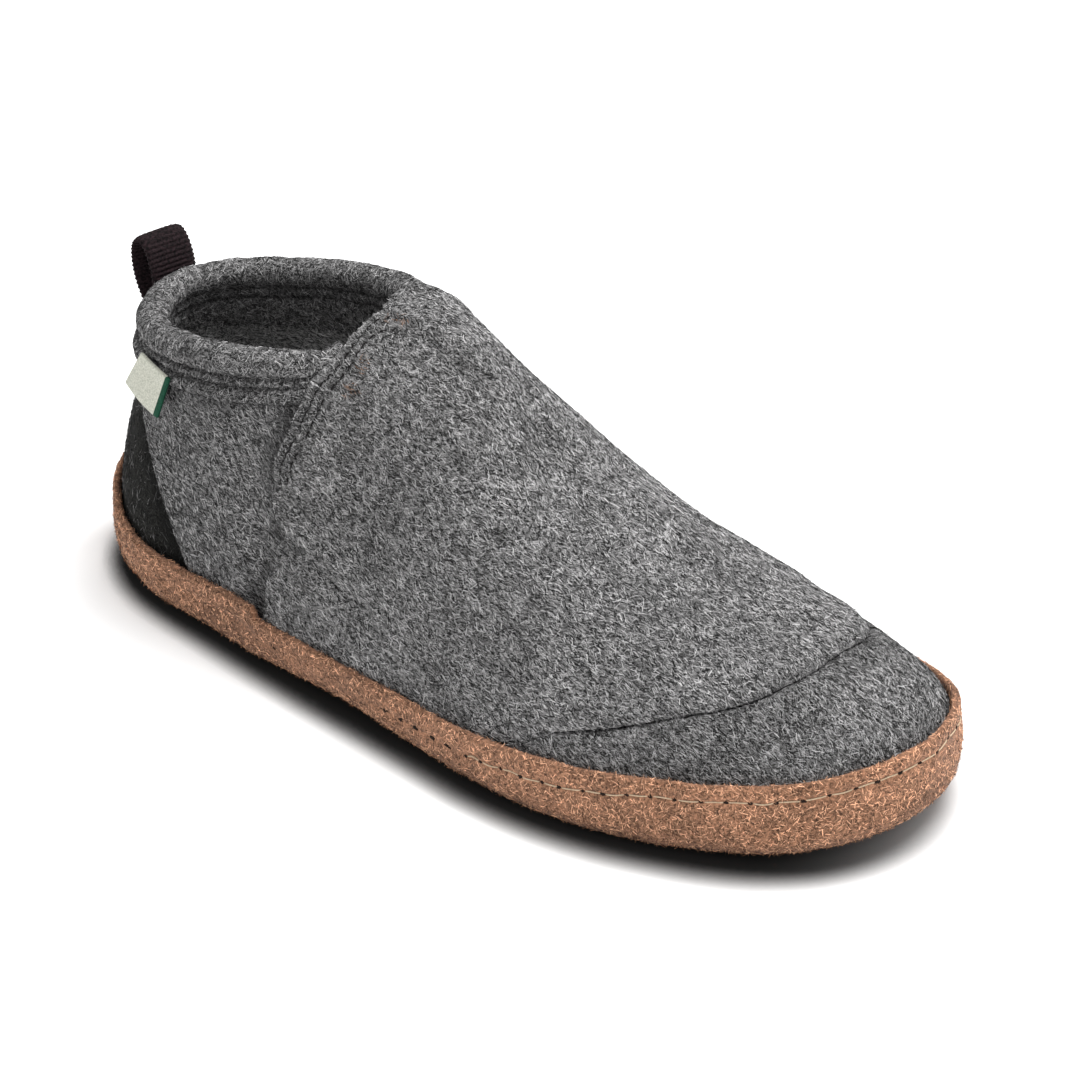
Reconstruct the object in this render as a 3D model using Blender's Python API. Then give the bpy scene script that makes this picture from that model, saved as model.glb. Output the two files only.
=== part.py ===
# Felt slipper, right shoe. X runs from heel to toe, +Y is the medial side, Z is up. Tables are in millimetres.
import bmesh
import bpy
import numpy as np

MM = 0.001
LENGTH = 275.0          # outside of the sole, heel to toe
SUEDE = 2.0             # suede thickness at the rim
FELT = 3.0              # felt thickness of the upper
GAP = 0.3               # air between pieces that meet
VAMP_GAP = 0.8         # air between the vamp and the upper under it
VAMP_T = 2.8            # vamp and toe cap thickness
FLOOR = 4.2             # top of the sole inside
BOTTOM_R = (7.0, 8.5)   # bottom edge rounding, across and up

# Sole outline: k = station number, x, half width on the lateral (-Y) and on the medial (+Y) side
OUTLINE = (
    # name        k    x     lateral medial
    ("heel_back", 1, 7.0, 17.5, 18.8),
    ("heel_seat", 2, 28.0, 32.2, 31.8),
    ("heel_front", 3, 60.0, 38.2, 34.2),
    ("waist_back", 4, 98.0, 43.8, 33.4),
    ("waist_front", 5, 138.0, 48.2, 37.6),
    ("ball", 6, 178.0, 52.6, 42.2),
    ("tread", 7, 213.0, 49.8, 44.4),
    ("toe_root", 8, 242.0, 40.6, 38.6),
    ("toe_front", 9, 262.0, 28.8, 30.2),
)
HEEL_TIP_Y, TOE_TIP_Y = 0.6, 7.5

# Rim height of the suede cup along the length
RIM = ((0.0, 24.0), (20.0, 18.5), (40.0, 16.6), (90.0, 16.8), (140.0, 16.4), (190.0, 18.9), (235.0, 22.8), (275.0, 27.0))

# Lift of the sole's underside: heel bevel, arch, toe spring
LIFT = ((0.0, 1.2), (14.0, 0.0), (70.0, 0.0), (118.0, 2.2), (158.0, 0.0), (212.0, 0.0), (245.0, 1.6), (275.0, 4.5))

# Top of each rib: collar line (k 0 to 5), throat edge (5 to 5.6), ridge (5.6 to 10)
COLLAR_LINE = (
    # name          k  lateral x, y, z       medial x, y, z
    ("back", 0, 14.9, 4.4, 74.1, 14.9, 4.4, 74.1),
    ("back_corner", 1, 20.8, -10.6, 74.3, 23.2, 16.4, 75.3),
    ("rear_side", 2, 34.8, -22.0, 76.3, 36.0, 23.2, 77.0),
    ("side", 3, 55.5, -27.8, 79.6, 55.5, 27.8, 80.0),
    ("front_side", 4, 78.5, -26.6, 83.1, 78.5, 26.6, 84.0),
    ("throat_corner", 5, 95.5, -17.4, 84.6, 95.5, 17.4, 88.4),
)
THROAT_K = 5.6
RIDGE = (
    # name         k     x      y     z
    ("throat", 5.6, 100.0, 0.5, 92.0),
    ("instep", 6.0, 128.0, -3.4, 93.0),
    ("waist", 6.6, 154.0, -2.8, 74.0),
    ("ball", 7.2, 180.0, 0.8, 60.9),
    ("tread", 8.0, 204.0, 0.6, 50.4),
    ("toe_box", 9.0, 224.0, 2.0, 44.2),
    ("toe_end", 10.0, 233.0, 2.4, 41.2),
)
# Shape of the ribs: outward lean at the foot, lower and upper handle (shares of the chord), how far the top closes over
RIB_SHAPE = (
    # name        k    lean   lower  upper  closed
    ("back", 0, -0.05, 0.43, 0.30, 0.0),
    ("rear", 2, -0.07, 0.41, 0.22, 0.0),
    ("side", 3, -0.10, 0.37, 0.12, 0.0),
    ("front_side", 4, -0.13, 0.35, 0.11, 0.0),
    ("corner", 5, -0.15, 0.35, 0.16, 0.25),
    ("throat_side", 5.3, -0.165, 0.345, 0.19, 0.70),
    ("throat", 5.6, -0.18, 0.34, 0.20, 0.95),
    ("instep", 6, -0.22, 0.33, 0.10, 1.0),
    ("ball", 7, -0.31, 0.345, 0.15, 1.0),
    ("tread", 8, -0.39, 0.37, 0.23, 1.0),
    ("toe", 10, -0.45, 0.385, 0.28, 1.0),
)

# Fuller instep on the medial side: station, share of the rib, their spreads, height
SHOULDER = (5.51, 0.91, 0.58, 0.11, 4.6)

# Edges of the panels, by share of the rib's length above the cup
WING_FOOT_K = 3.62
WING_EDGE = ((-1.0, 3.62), (0.0, 3.64), (0.15, 3.70), (0.23, 3.79), (0.37, 3.92), (0.50, 3.95), (0.61, 4.0), (0.69, 4.1), (0.77, 4.28), (0.88, 4.55), (0.94, 4.72), (1.0, 5.0))
TOE_SEAM = ((6.43, 0.0), (6.6, 0.075), (6.8, 0.115), (7.25, 0.170), (7.75, 0.240), (8.2, 0.315), (8.5, 0.378), (8.85, 0.455), (9.15, 0.540), (9.6, 0.650), (10.0, 0.690))
TOE_SEAM_K = 6.43
BACK_V = ((-1.0, 2.78), (0.0, 2.75), (0.16, 2.55), (0.32, 2.33), (0.50, 2.02), (0.62, 1.68), (0.72, 1.40), (0.85, 1.10))
BACK_V_TOP = 0.85
GUSSET_IN, GUSSET_T = 0.9, 2.3      # face set back from the quarters, thickness
GUSSET_EDGE, GUSSET_TOP = 0.035, 0.842      # stations short of the quarters' edges, share at the top
# Collar section, down from the upper's top edge and out from its face
COLLAR_SECTION = (
    # name           down   out
    ("outer_foot", 10.0, 0.4),
    ("outer_edge", 10.0, 2.2),
    ("flange", 6.5, 2.4),
    ("groove", 3.6, 2.2),
    ("roll_out", 1.2, 2.7),
    ("roll_shoulder", -1.4, 2.0),
    ("roll_top_out", -2.9, 0.2),
    ("roll_top", -3.4, -1.6),
    ("roll_top_in", -2.7, -3.6),
    ("roll_shoulder_in", -1.0, -5.2),
    ("roll_in", 1.4, -5.8),
    ("groove_in", 4.2, -5.2),
    ("inner_edge", 8.4, -5.5),
    ("inner_foot", 8.4, -3.5),
    ("inner_mid", 4.0, -3.5),
    ("inner_lip", 0.0, -3.5),
    ("edge_in", -0.55, -3.1),
    ("edge_out", -0.55, 0.0),
    ("outer_lip", 0.2, 0.4),
    ("outer_mid", 5.0, 0.4),
)
COLLAR_END = 0.06       # stations short of the vamp's edge
INSOLE_T = 4.2
# Pull loop: middle line of the webbing, distance back from its front leg and height
LOOP = (
    # name         back    z
    ("front_foot", 1.9, 64.0),
    ("front_mid", 1.1, 69.5),
    ("front_roll", 0.7, 75.0),
    ("front_top", 2.0, 80.2),
    ("crown_front", 4.6, 83.6),
    ("crown", 7.6, 84.0),
    ("crown_back", 10.2, 81.6),
    ("back_top", 11.0, 77.0),
    ("back_mid", 9.8, 71.0),
    ("back_foot", 6.2, 65.4),
)
LOOP_AT, LOOP_TURN = (12.3, 7.4), 13.0      # place of the front leg, degrees turned to the medial side
LOOP_W, LOOP_T = 13.6, 1.5
# Label: corners as station and share of the rib, standing off the quarter
TAG = (("top_back", 2.05, 0.918), ("top_front", 2.75, 0.879), ("bottom_front", 2.55, 0.69), ("bottom_back", 1.65, 0.711))
TAG_OFF, TAG_T = 3.0, 1.1


def spline(knots, values, periodic=False):
    """Cubic spline through the values, natural at the ends or periodic."""
    knots, values = np.asarray(knots, float), np.asarray(values, float)
    n = len(knots) - 1
    gap = np.diff(knots)
    slope = np.diff(values, axis=0) / (gap if values.ndim == 1 else gap[:, None])
    a = np.zeros((n + 1, n + 1))
    b = np.zeros_like(values)
    for i in range(1, n):
        a[i, i - 1], a[i, i], a[i, i + 1] = gap[i - 1], 2 * (gap[i - 1] + gap[i]), gap[i]
        b[i] = 6 * (slope[i] - slope[i - 1])
    if periodic:
        a[0, 0], a[0, 1], a[0, n - 1] = 2 * (gap[-1] + gap[0]), gap[0], gap[-1]
        b[0] = 6 * (slope[0] - slope[-1])
        a[n, n], a[n, 0] = 1, -1
    else:
        a[0, 0] = a[n, n] = 1
    bend = np.linalg.solve(a, b)

    def at(t):
        t = np.asarray(t, float)
        i = np.clip(np.searchsorted(knots, t, "right") - 1, 0, n - 1)
        h = gap[i]
        lo, hi = (knots[i + 1] - t) / h, (t - knots[i]) / h
        if values.ndim > 1:
            h, lo, hi = h[..., None], lo[..., None], hi[..., None]
        return lo * values[i] + hi * values[i + 1] + ((lo**3 - lo) * bend[i] + (hi**3 - hi) * bend[i + 1]) * h * h / 6

    return at


def smooth(t):
    t = np.clip(t, 0, 1)
    return t * t * (3 - 2 * t)


def pchip(xs, ys):
    """Monotone cubic through a short table."""
    xs, ys = np.asarray(xs, float), np.asarray(ys, float)
    h = np.diff(xs)
    d = np.diff(ys) / h
    m = np.zeros_like(ys)
    m[0], m[-1] = d[0], d[-1]
    for i in range(1, len(xs) - 1):
        if d[i - 1] * d[i] > 0:
            w1, w2 = 2 * h[i] + h[i - 1], h[i] + 2 * h[i - 1]
            m[i] = (w1 + w2) / (w1 / d[i - 1] + w2 / d[i])

    def at(t):
        t = np.clip(np.asarray(t, float), xs[0], xs[-1])
        i = np.clip(np.searchsorted(xs, t, "right") - 1, 0, len(xs) - 2)
        s = (t - xs[i]) / h[i]
        return (
            ys[i] * (1 + 2 * s) * (1 - s) ** 2
            + ys[i + 1] * s * s * (3 - 2 * s)
            + h[i] * (m[i] * s * (1 - s) ** 2 + m[i + 1] * s * s * (s - 1))
        )

    return at


OUT_K = np.arange(21.0)
OUT_PTS = np.array(
    [(0.0, HEEL_TIP_Y)]
    + [(r[2], -r[3]) for r in OUTLINE]
    + [(LENGTH, TOE_TIP_Y)]
    + [(r[2], r[4]) for r in reversed(OUTLINE)]
    + [(0.0, HEEL_TIP_Y)]
)
OUT_S = np.r_[0, np.cumsum(np.linalg.norm(np.diff(OUT_PTS, axis=0), axis=1))]
outline_at = spline(OUT_S, OUT_PTS, periodic=True)
rim_at = pchip([r[0] for r in RIM], [r[1] for r in RIM])
lift_at = pchip([r[0] for r in LIFT], [r[1] for r in LIFT])


def outline(k):
    """Outline point and outward normal at station k (0 heel, 1-9 lateral, 10 toe, 11-19 medial)."""
    s = np.interp(np.mod(k, 20), OUT_K, OUT_S)
    p = outline_at(s)
    d = outline_at(np.mod(s + 0.5, OUT_S[-1])) - outline_at(np.mod(s - 0.5, OUT_S[-1]))
    d /= np.linalg.norm(d, axis=-1, keepdims=True)
    return p, np.stack([d[..., 1], -d[..., 0]], -1)


collar_at = spline(
    [-r[1] for r in COLLAR_LINE[:0:-1]] + [r[1] for r in COLLAR_LINE],
    [r[5:] for r in COLLAR_LINE[:0:-1]] + [r[2:5] for r in COLLAR_LINE],
)
ridge_at = spline([r[1] for r in RIDGE], [r[2:] for r in RIDGE])
lean_at, lower_at, upper_at, closed_at = (
    pchip([r[1] for r in RIB_SHAPE], [r[i] for r in RIB_SHAPE]) for i in (2, 3, 4, 5)
)


def folded(k):
    """Station 0 to 10 whichever the side, and the side: -1 lateral, +1 medial."""
    k = np.mod(np.asarray(k, float), 20)
    return np.where(k <= 10, k, 20 - k), np.where(k <= 10, -1.0, 1.0)


def top_of(k):
    """Top point of rib k: on the collar line, then the throat edge, then the ridge."""
    f, side = folded(k)
    collar = collar_at(np.clip(f, 0, 5) * -side)
    ridge = ridge_at(np.clip(f, THROAT_K, 10))
    corner = collar_at(5.0 * -side)
    head = ridge_at(THROAT_K)
    t = np.clip((f - 5) / (THROAT_K - 5), 0, 1)[..., None]
    a = corner + np.stack([2.5 + 0 * side, -5.5 * side, 2.6 + 0 * side], -1)
    b = head + np.stack([-0.3 + 0 * side, 8.0 * side, -0.7 + 0 * side], -1)
    throat = (1 - t) ** 3 * corner + 3 * (1 - t) ** 2 * t * a + 3 * (1 - t) * t * t * b + t**3 * head
    return np.where((f <= 5)[..., None], collar, np.where((f < THROAT_K)[..., None], throat, ridge))


def inset_of(k):
    """How far the upper stands inside the sole's outline: more where the vamp lies over it."""
    f, _ = folded(k)
    return SUEDE + GAP + (VAMP_T + VAMP_GAP) * smooth((f - WING_FOOT_K + 0.35) / 0.35)


def rib(k, v):
    """Outer face of the upper at station k. v 0 is 3 mm under the rim and 1 the top; below 0 it runs straight down in the cup to its foot at -1."""
    k, v = np.broadcast_arrays(np.asarray(k, float), np.asarray(v, float))
    o, n = outline(k)
    f, _ = folded(k)
    top = top_of(k)
    foot = o - n * inset_of(k)[..., None]
    x = np.clip(o[..., 0], 0, LENGTH)
    z0 = rim_at(x) - 3.0
    p0 = np.concatenate([foot, z0[..., None]], -1)
    lean, low, high, shut = lean_at(f), lower_at(f), upper_at(f), closed_at(f)
    chord = np.linalg.norm(top - p0, axis=-1)
    rise = np.concatenate([n * lean[..., None], np.ones_like(lean)[..., None]], -1)
    rise /= np.linalg.norm(rise, axis=-1, keepdims=True)
    flat = top[..., :2] - foot
    flat /= np.linalg.norm(flat, axis=-1, keepdims=True)
    a, b = (ridge_at(np.clip(f, THROAT_K + 0.05, 9.95) + s) for s in (-0.05, 0.05))
    slope = np.clip((b[..., 2] - a[..., 2]) / (b[..., 0] - a[..., 0]), -0.8, 0.3)
    over = np.stack([flat[..., 0], flat[..., 1], slope * flat[..., 0]], -1)
    over /= np.linalg.norm(over, axis=-1, keepdims=True)
    up = (top - p0) / chord[..., None] * 0.5 + np.array([0, 0, 0.5])
    up /= np.linalg.norm(up, axis=-1, keepdims=True)
    end = over * shut[..., None] + up * (1 - shut[..., None])
    end /= np.linalg.norm(end, axis=-1, keepdims=True)
    p1 = p0 + rise * (low * chord)[..., None]
    p2 = top - end * (high * chord)[..., None]
    w = np.clip(v, 0, 1)[..., None]
    p = (1 - w) ** 3 * p0 + 3 * (1 - w) ** 2 * w * p1 + 3 * (1 - w) * w * w * p2 + w**3 * top
    drop = np.clip(-v, 0, 1) * (z0 - FLOOR - GAP - lift_at(x))
    return p - drop[..., None] * np.array([0, 0, 1.0])


def rib_length(k):
    v = np.linspace(0, 1, 33)
    p = rib(np.asarray(k, float)[..., None], v)
    return np.concatenate([np.zeros(p.shape[:-2] + (1,)), np.cumsum(np.linalg.norm(np.diff(p, axis=-2), axis=-1), -1)], -1)


def at_share(k, share):
    """v at this share of the rib's length above the cup; below 0 it stays as it is."""
    k, share = np.broadcast_arrays(np.asarray(k, float), np.asarray(share, float))
    run = rib_length(k)
    want = np.clip(share, 0, 1) * run[..., -1]
    i = np.clip((run <= want[..., None]).sum(-1) - 1, 0, 31)
    lo = np.take_along_axis(run, i[..., None], -1)[..., 0]
    hi = np.take_along_axis(run, i[..., None] + 1, -1)[..., 0]
    return np.where(share < 0, share, (i + (want - lo) / (hi - lo)) / 32)


def normal_at(k, v):
    v = np.clip(v, -1, 0.965)
    along = rib(k + 0.03, v) - rib(k - 0.03, v)
    up = rib(k, np.clip(v + 0.03, -1, 0.985)) - rib(k, np.clip(v - 0.03, -1, 1))
    n = np.cross(along, up)
    return n / np.linalg.norm(n, axis=-1, keepdims=True)


def form(k, share, off):
    """The upper's own surface, moved out by off: every felt piece is taken from it."""
    k, share = np.broadcast_arrays(np.asarray(k, float), np.asarray(share, float))
    v = at_share(k, share)
    f, side = folded(k)
    k0, s0, dk, ds, high = SHOULDER
    full = high * np.exp(-((f - k0) / dk) ** 2 - ((share - s0) / ds) ** 2) * np.where(f < THROAT_K, side > 0, smooth((side * (1 - share) + 0.05) / 0.1))
    return rib(k, v) + normal_at(k, v) * (np.asarray(off, float) + full)[..., None]


# ---------- meshes

BLENDS = {
    "suede": ((0.29, 0.16, 0.10), 0.95),
    "felt_grey": ((0.17, 0.165, 0.16), 0.97),
    "felt_vamp": ((0.20, 0.195, 0.19), 0.97),
    "felt_dark": ((0.055, 0.055, 0.05), 0.97),
    "felt_collar": ((0.14, 0.135, 0.13), 0.97),
    "felt_insole": ((0.10, 0.10, 0.095), 0.97),
    "webbing": ((0.025, 0.017, 0.017), 0.8),
    "label": ((0.70, 0.68, 0.60), 0.7),
}


def material(name):
    colour, rough = BLENDS[name]
    made = bpy.data.materials.new(name)
    made.use_nodes = True
    shader = made.node_tree.nodes["Principled BSDF"]
    shader.inputs["Base Color"].default_value = (*colour, 1)
    shader.inputs["Roughness"].default_value = rough
    return made


def add(name, points, faces, look):
    """One object from points in millimetres; its faces are turned outwards."""
    mesh = bpy.data.meshes.new(name)
    mesh.from_pydata((np.asarray(points) * MM).tolist(), [], [list(map(int, f)) for f in faces])
    edit = bmesh.new()
    edit.from_mesh(mesh)
    bmesh.ops.recalc_face_normals(edit, faces=edit.faces[:])
    if edit.calc_volume(signed=True) < 0:
        bmesh.ops.reverse_faces(edit, faces=edit.faces[:])
    edit.to_mesh(mesh)
    edit.free()
    mesh.shade_smooth()
    mesh.materials.append(material(look))
    made = bpy.data.objects.new(name, mesh)
    bpy.context.scene.collection.objects.link(made)
    return made


def thickened(name, outer, inner, quads, look):
    """A closed wall between two copies of one sheet."""
    quads = [[v for i, v in enumerate(q) if v != q[i - 1]] for q in quads]
    seen = {}
    for q in quads:
        for a, b in zip(q, q[1:] + q[:1]):
            seen[(a, b)] = seen.get((a, b), 0) + 1
    count = len(outer)
    faces = [list(q) for q in quads] + [[v + count for v in reversed(q)] for q in quads]
    for a, b in seen:
        if (b, a) not in seen:
            faces.append([b, a, a + count, b + count])
    used = sorted({v for f in faces for v in f})
    number = {v: i for i, v in enumerate(used)}
    points = np.vstack([outer, inner])[used]
    return add(name, points, [[number[v] for v in f] for f in faces], look)


def panel(name, stations, shares, offsets, look, ring=False, skip=None):
    """A felt piece: stations and shares are grids of rows by columns. Top points past the throat are joined across the ridge."""
    rows, cols = stations.shape
    ids = np.arange(rows * cols).reshape(rows, cols)
    outer, inner = (form(stations, shares, np.full(stations.shape, float(o))).reshape(-1, 3) for o in offsets)
    f, side = folded(stations[-1])
    if shares[-1].min() > 0.999:
        for j in range(cols):
            if f[j] < THROAT_K - 1e-6 or side[j] > 0:
                continue
            other = np.argmin(np.abs(np.mod(stations[-1], 20) - (20 - f[j])))
            if other != j:
                a, b = ids[-1, j], ids[-1, other]
                for cloud in (outer, inner):
                    cloud[a] = cloud[b] = (cloud[a] + cloud[b]) / 2
                ids[-1, other] = a
    quads = []
    for j in range(cols if ring else cols - 1):
        n = (j + 1) % cols
        for i in range(rows - 1):
            if skip is None or not skip(i, j):
                quads.append([ids[i, j], ids[i, n], ids[i + 1, n], ids[i + 1, j]])
    return thickened(name, outer, inner, quads, look)


def mirrored(near):
    """Stations of the lateral side, 0 to 10, followed by those of the medial side back to 0."""
    return np.concatenate([near, 20 - near[:, -2::-1]], 1)


CUP_SHARES = [-1.0, -0.45, 0.0]
BODY_SHARES = [0.13, 0.27, 0.41, 0.54, 0.66, 0.77, 0.85, 0.91, 0.96, 1.0]
SHARES = np.array(CUP_SHARES + BODY_SHARES)
FRONT_ROWS = np.array([0, 0.03, 0.06, 0.13, 0.23, 0.34, 0.45, 0.56, 0.67, 0.77, 0.85, 0.93, 1])
FRONT_K = [5.6, 5.8, 6.1, 6.42, 6.44, 6.56, 6.72, 6.95, 7.2, 7.45, 7.7, 7.95, 8.2, 8.45, 8.7, 8.95, 9.2, 9.4, 9.6, 9.8, 10.0]

wing_at = pchip([r[0] for r in WING_EDGE], [r[1] for r in WING_EDGE])
seam_at = pchip([r[0] for r in TOE_SEAM], [r[1] for r in TOE_SEAM])
back_v_at = pchip([r[0] for r in BACK_V], [r[1] for r in BACK_V])


def build_upper():
    """One hollow wall of felt, open at the collar, underneath, and in a V at the back for the gusset."""
    edge = back_v_at(SHARES)[:, None]
    rear = np.concatenate([edge * np.arange(5) / 4, edge + (4.0 - edge) * np.arange(1, 8) / 7], 1)
    fixed = [4.25, 4.5, 4.7, 4.85, 5.0, 5.07, 5.15, 5.22, 5.3, 5.45, 5.6, 5.8, 6.1, 6.42, 6.56, 6.72, 6.95, 7.2, 7.45, 7.7, 8.2, 8.7, 9.2, 9.6, 10.0]
    near = np.concatenate([rear, np.tile(fixed, (len(SHARES), 1))], 1)
    stations = np.concatenate([near, 20 - near[:, -2:0:-1]], 1)
    cols = stations.shape[1]
    top = int(np.argmin(np.abs(SHARES - BACK_V_TOP)))
    shares = np.tile(SHARES[:, None], (1, cols))
    return panel(
        "upper", stations, shares, (0.0, -FELT), "felt_grey", ring=True,
        skip=lambda i, j: i < top and (j < 4 or j >= cols - 4),
    )


def build_vamp():
    """Second layer over the instep and forefoot, from the wing edges to the toe seam, a felt's thickness proud of the upper."""
    rows = len(SHARES)
    edge = wing_at(SHARES)[:, None]
    near = np.concatenate([edge + (5.6 - edge) * np.arange(8) / 8, np.tile(FRONT_K, (rows, 1))], 1)
    stations = mirrored(near)
    f = folded(stations[0])[0]
    shares = np.zeros_like(stations)
    for j in range(stations.shape[1]):
        front = f[j] > TOE_SEAM_K
        low = seam_at(f[j]) + 0.004
        shares[:, j] = low + (1 - low) * FRONT_ROWS if front else SHARES
    return panel("vamp", stations, shares, (VAMP_T + VAMP_GAP, VAMP_GAP), "felt_vamp")


def build_toe_cap():
    """The piece in front of the toe seam, level with the vamp."""
    near = np.array([TOE_SEAM_K + 0.03] + [k for k in FRONT_K if k > TOE_SEAM_K + 0.05])[None]
    stations = mirrored(np.tile(near, (8, 1)))
    f = folded(stations[0])[0]
    shares = np.stack([np.concatenate([[-1.0, -0.45], np.linspace(0, seam_at(k) - 0.004, 6)]) for k in f], 1)
    return panel("toe_cap", stations, shares, (VAMP_T + VAMP_GAP, VAMP_GAP), "felt_vamp")


def build_gusset():
    """Dark insert between the edges of the V, its face a little behind them."""
    rows = np.array(CUP_SHARES + [r for r in BODY_SHARES if r < BACK_V_TOP - 0.01] + [BACK_V_TOP])
    half = (back_v_at(rows) - GUSSET_EDGE)[:, None]
    stations = half * np.linspace(-1, 1, 13)[None]
    shares = np.tile(np.minimum(rows, GUSSET_TOP)[:, None], (1, 13))
    return panel("heel_gusset", stations, shares, (-GUSSET_IN, -GUSSET_IN - GUSSET_T), "felt_dark")


def collar_point(k, down, out):
    """A point of the collar's section at station k."""
    length = rib_length(k)[..., -1]
    share = 1 - np.maximum(down, 0) / length
    p = form(k, share, out)
    n = normal_at(k, np.ones_like(k))
    along = rib(k + 0.03, 1.0 + 0 * k) - rib(k - 0.03, 1.0 + 0 * k)
    up = np.cross(n, along)
    up /= np.linalg.norm(up, axis=-1, keepdims=True)
    up = np.where(up[..., 2:] < 0, -up, up)
    return p + up * np.maximum(-down, 0)[..., None]


def build_collar():
    """Folded felt band over the upper's top edge, from one vamp edge round the heel to the other."""
    spread = np.linspace(-1, 1, 41)
    length = rib_length(np.array(4.8))[-1]
    rings = []
    for _, down, out in COLLAR_SECTION:
        end = wing_at(1 - max(down, 0) / length) - COLLAR_END
        k = spread * end
        rings.append(collar_point(k, np.full(k.shape, float(down)), np.full(k.shape, float(out))))
    rings = np.array(rings)
    m, n = rings.shape[:2]
    ids = np.arange(m * n).reshape(m, n)
    faces = [[ids[i, j], ids[(i + 1) % m, j], ids[(i + 1) % m, j + 1], ids[i, j + 1]] for i in range(m) for j in range(n - 1)]
    # Ends: the section is a hook, so it is closed leg by leg
    for j, turn in ((0, 1), (n - 1, -1)):
        caps = [[0, 1, 2, 19], [2, 3, 19], [3, 4, 18, 19], [4, 5, 17, 18], [5, 6, 17], [6, 7, 16, 17], [7, 8, 16], [8, 9, 15, 16], [9, 10, 15], [10, 11, 14, 15], [11, 12, 13, 14]]
        faces += [[ids[i, j] for i in (cap if turn > 0 else reversed(cap))] for cap in caps]
    return add("collar", rings.reshape(-1, 3), faces, "felt_collar")


def stations_round(step):
    near = np.arange(0, 10 + step / 2, step)
    return np.concatenate([near, 20 - near[-2:0:-1]])


def ringed(name, rings, look):
    """A solid from stacked rings round the foot, closed across at both ends by a ladder of lateral and medial points."""
    rings = np.array(rings)
    m, n = rings.shape[:2]
    ids = np.arange(m * n).reshape(m, n)
    faces = [[ids[i, j], ids[i, (j + 1) % n], ids[i + 1, (j + 1) % n], ids[i + 1, j]] for i in range(m - 1) for j in range(n)]
    half = n // 2
    for row, flip in ((0, True), (m - 1, False)):
        r = ids[row]
        for j in range(half):
            a, b, c, d = r[j], r[j + 1], r[(n - j - 1) % n], r[(n - j) % n]
            q = list(dict.fromkeys([a, b, c, d]))
            faces.append(q[::-1] if flip else q)
    return add(name, rings.reshape(-1, 3), faces, look)


def ring(k, inset, z):
    o, n = outline(k)
    p = o - n * np.broadcast_to(inset, k.shape)[..., None]
    return np.concatenate([p, np.broadcast_to(z, k.shape)[..., None]], -1)


def build_outsole():
    """Suede sole that wraps up into a rim: flat at heel and ball, lifted at the arch and the toe."""
    k = stations_round(0.25)
    x = np.clip(outline(k)[0][:, 0], 0, LENGTH)
    lift, rim = lift_at(x), rim_at(x)
    across, up = BOTTOM_R
    rings = [ring(k, across * (1 - np.sin(a)) + 0.0, lift + up * (1 - np.cos(a))) for a in np.linspace(0, np.pi / 2, 4)]
    rings.append(ring(k, 0.25, rim - 1.2))
    rings.append(ring(k, 0.95, rim))
    rings.append(ring(k, SUEDE, rim - 0.8))
    rings.append(ring(k, SUEDE, FLOOR + lift + 0.25))
    rings.append(ring(k, SUEDE + 0.25, FLOOR + lift))
    return ringed("outsole", rings, "suede")


def build_insole():
    """Felt bed inside the upper."""
    k = stations_round(0.25)
    f = folded(k)[0]
    x = np.clip(outline(k)[0][:, 0], 0, LENGTH)
    z = FLOOR + GAP + lift_at(x)
    inset = inset_of(k) + FELT + 0.8 + (GUSSET_IN + GUSSET_T - FELT + 0.1) * smooth((3.5 - f) / 0.3)
    rings = [ring(k, inset + 0.4, z), ring(k, inset, z + 0.6), ring(k, inset, z + INSOLE_T - 1.0), ring(k, inset + 1.2, z + INSOLE_T)]
    return ringed("insole", rings, "felt_insole")


def build_loop():
    """Webbing folded into a standing loop behind the collar."""
    path = spline(np.arange(len(LOOP)), [(r[1], r[2]) for r in LOOP])
    t = np.linspace(0, len(LOOP) - 1, 28)
    p = path(t)
    d = path(t + 0.02) - path(t - 0.02)
    d /= np.linalg.norm(d, axis=1)[:, None]
    n = np.stack([-d[:, 1], d[:, 0]], 1)
    turn = np.radians(LOOP_TURN)
    back, across = np.array([-np.cos(turn), np.sin(turn)]), np.array([np.sin(turn), np.cos(turn)])
    rings = []
    for s, w in ((1, -1), (1, 1), (-1, 1), (-1, -1)):
        q = p + n * s * LOOP_T / 2
        flat = np.array(LOOP_AT) + q[:, :1] * back + w * LOOP_W / 2 * across
        rings.append(np.concatenate([flat, q[:, 1:]], 1))
    rings = np.array(rings)
    ids = np.arange(rings.shape[0] * rings.shape[1]).reshape(rings.shape[:2])
    faces = [[ids[i, j], ids[i, j + 1], ids[(i + 1) % 4, j + 1], ids[(i + 1) % 4, j]] for i in range(4) for j in range(len(t) - 1)]
    faces += [list(ids[:, 0]), list(ids[::-1, -1])]
    return add("pull_loop", rings.reshape(-1, 3), faces, "webbing")


def build_tag():
    """Small folded label under the collar's edge, left bare."""
    (_, ka, sa), (_, kb, sb), (_, kc, sc), (_, kd, sd) = TAG
    u, w = np.meshgrid(np.linspace(0, 1, 5), np.linspace(0, 1, 4))
    k = (ka + (kb - ka) * u) * (1 - w) + (kd + (kc - kd) * u) * w
    s = (sa + (sb - sa) * u) * (1 - w) + (sd + (sc - sd) * u) * w
    off = TAG_OFF + 0.7 * w
    outer, inner = form(k, s, off + TAG_T).reshape(-1, 3), form(k, s, off).reshape(-1, 3)
    ids = np.arange(20).reshape(4, 5)
    quads = [[ids[i, j], ids[i, j + 1], ids[i + 1, j + 1], ids[i + 1, j]] for i in range(3) for j in range(4)]
    return thickened("tag", outer, inner, quads, "label")


for old in list(bpy.data.objects):
    bpy.data.objects.remove(old, do_unlink=True)

made = [build_outsole(), build_insole(), build_upper(), build_vamp(), build_toe_cap(), build_gusset(), build_collar(), build_loop(), build_tag()]

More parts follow.
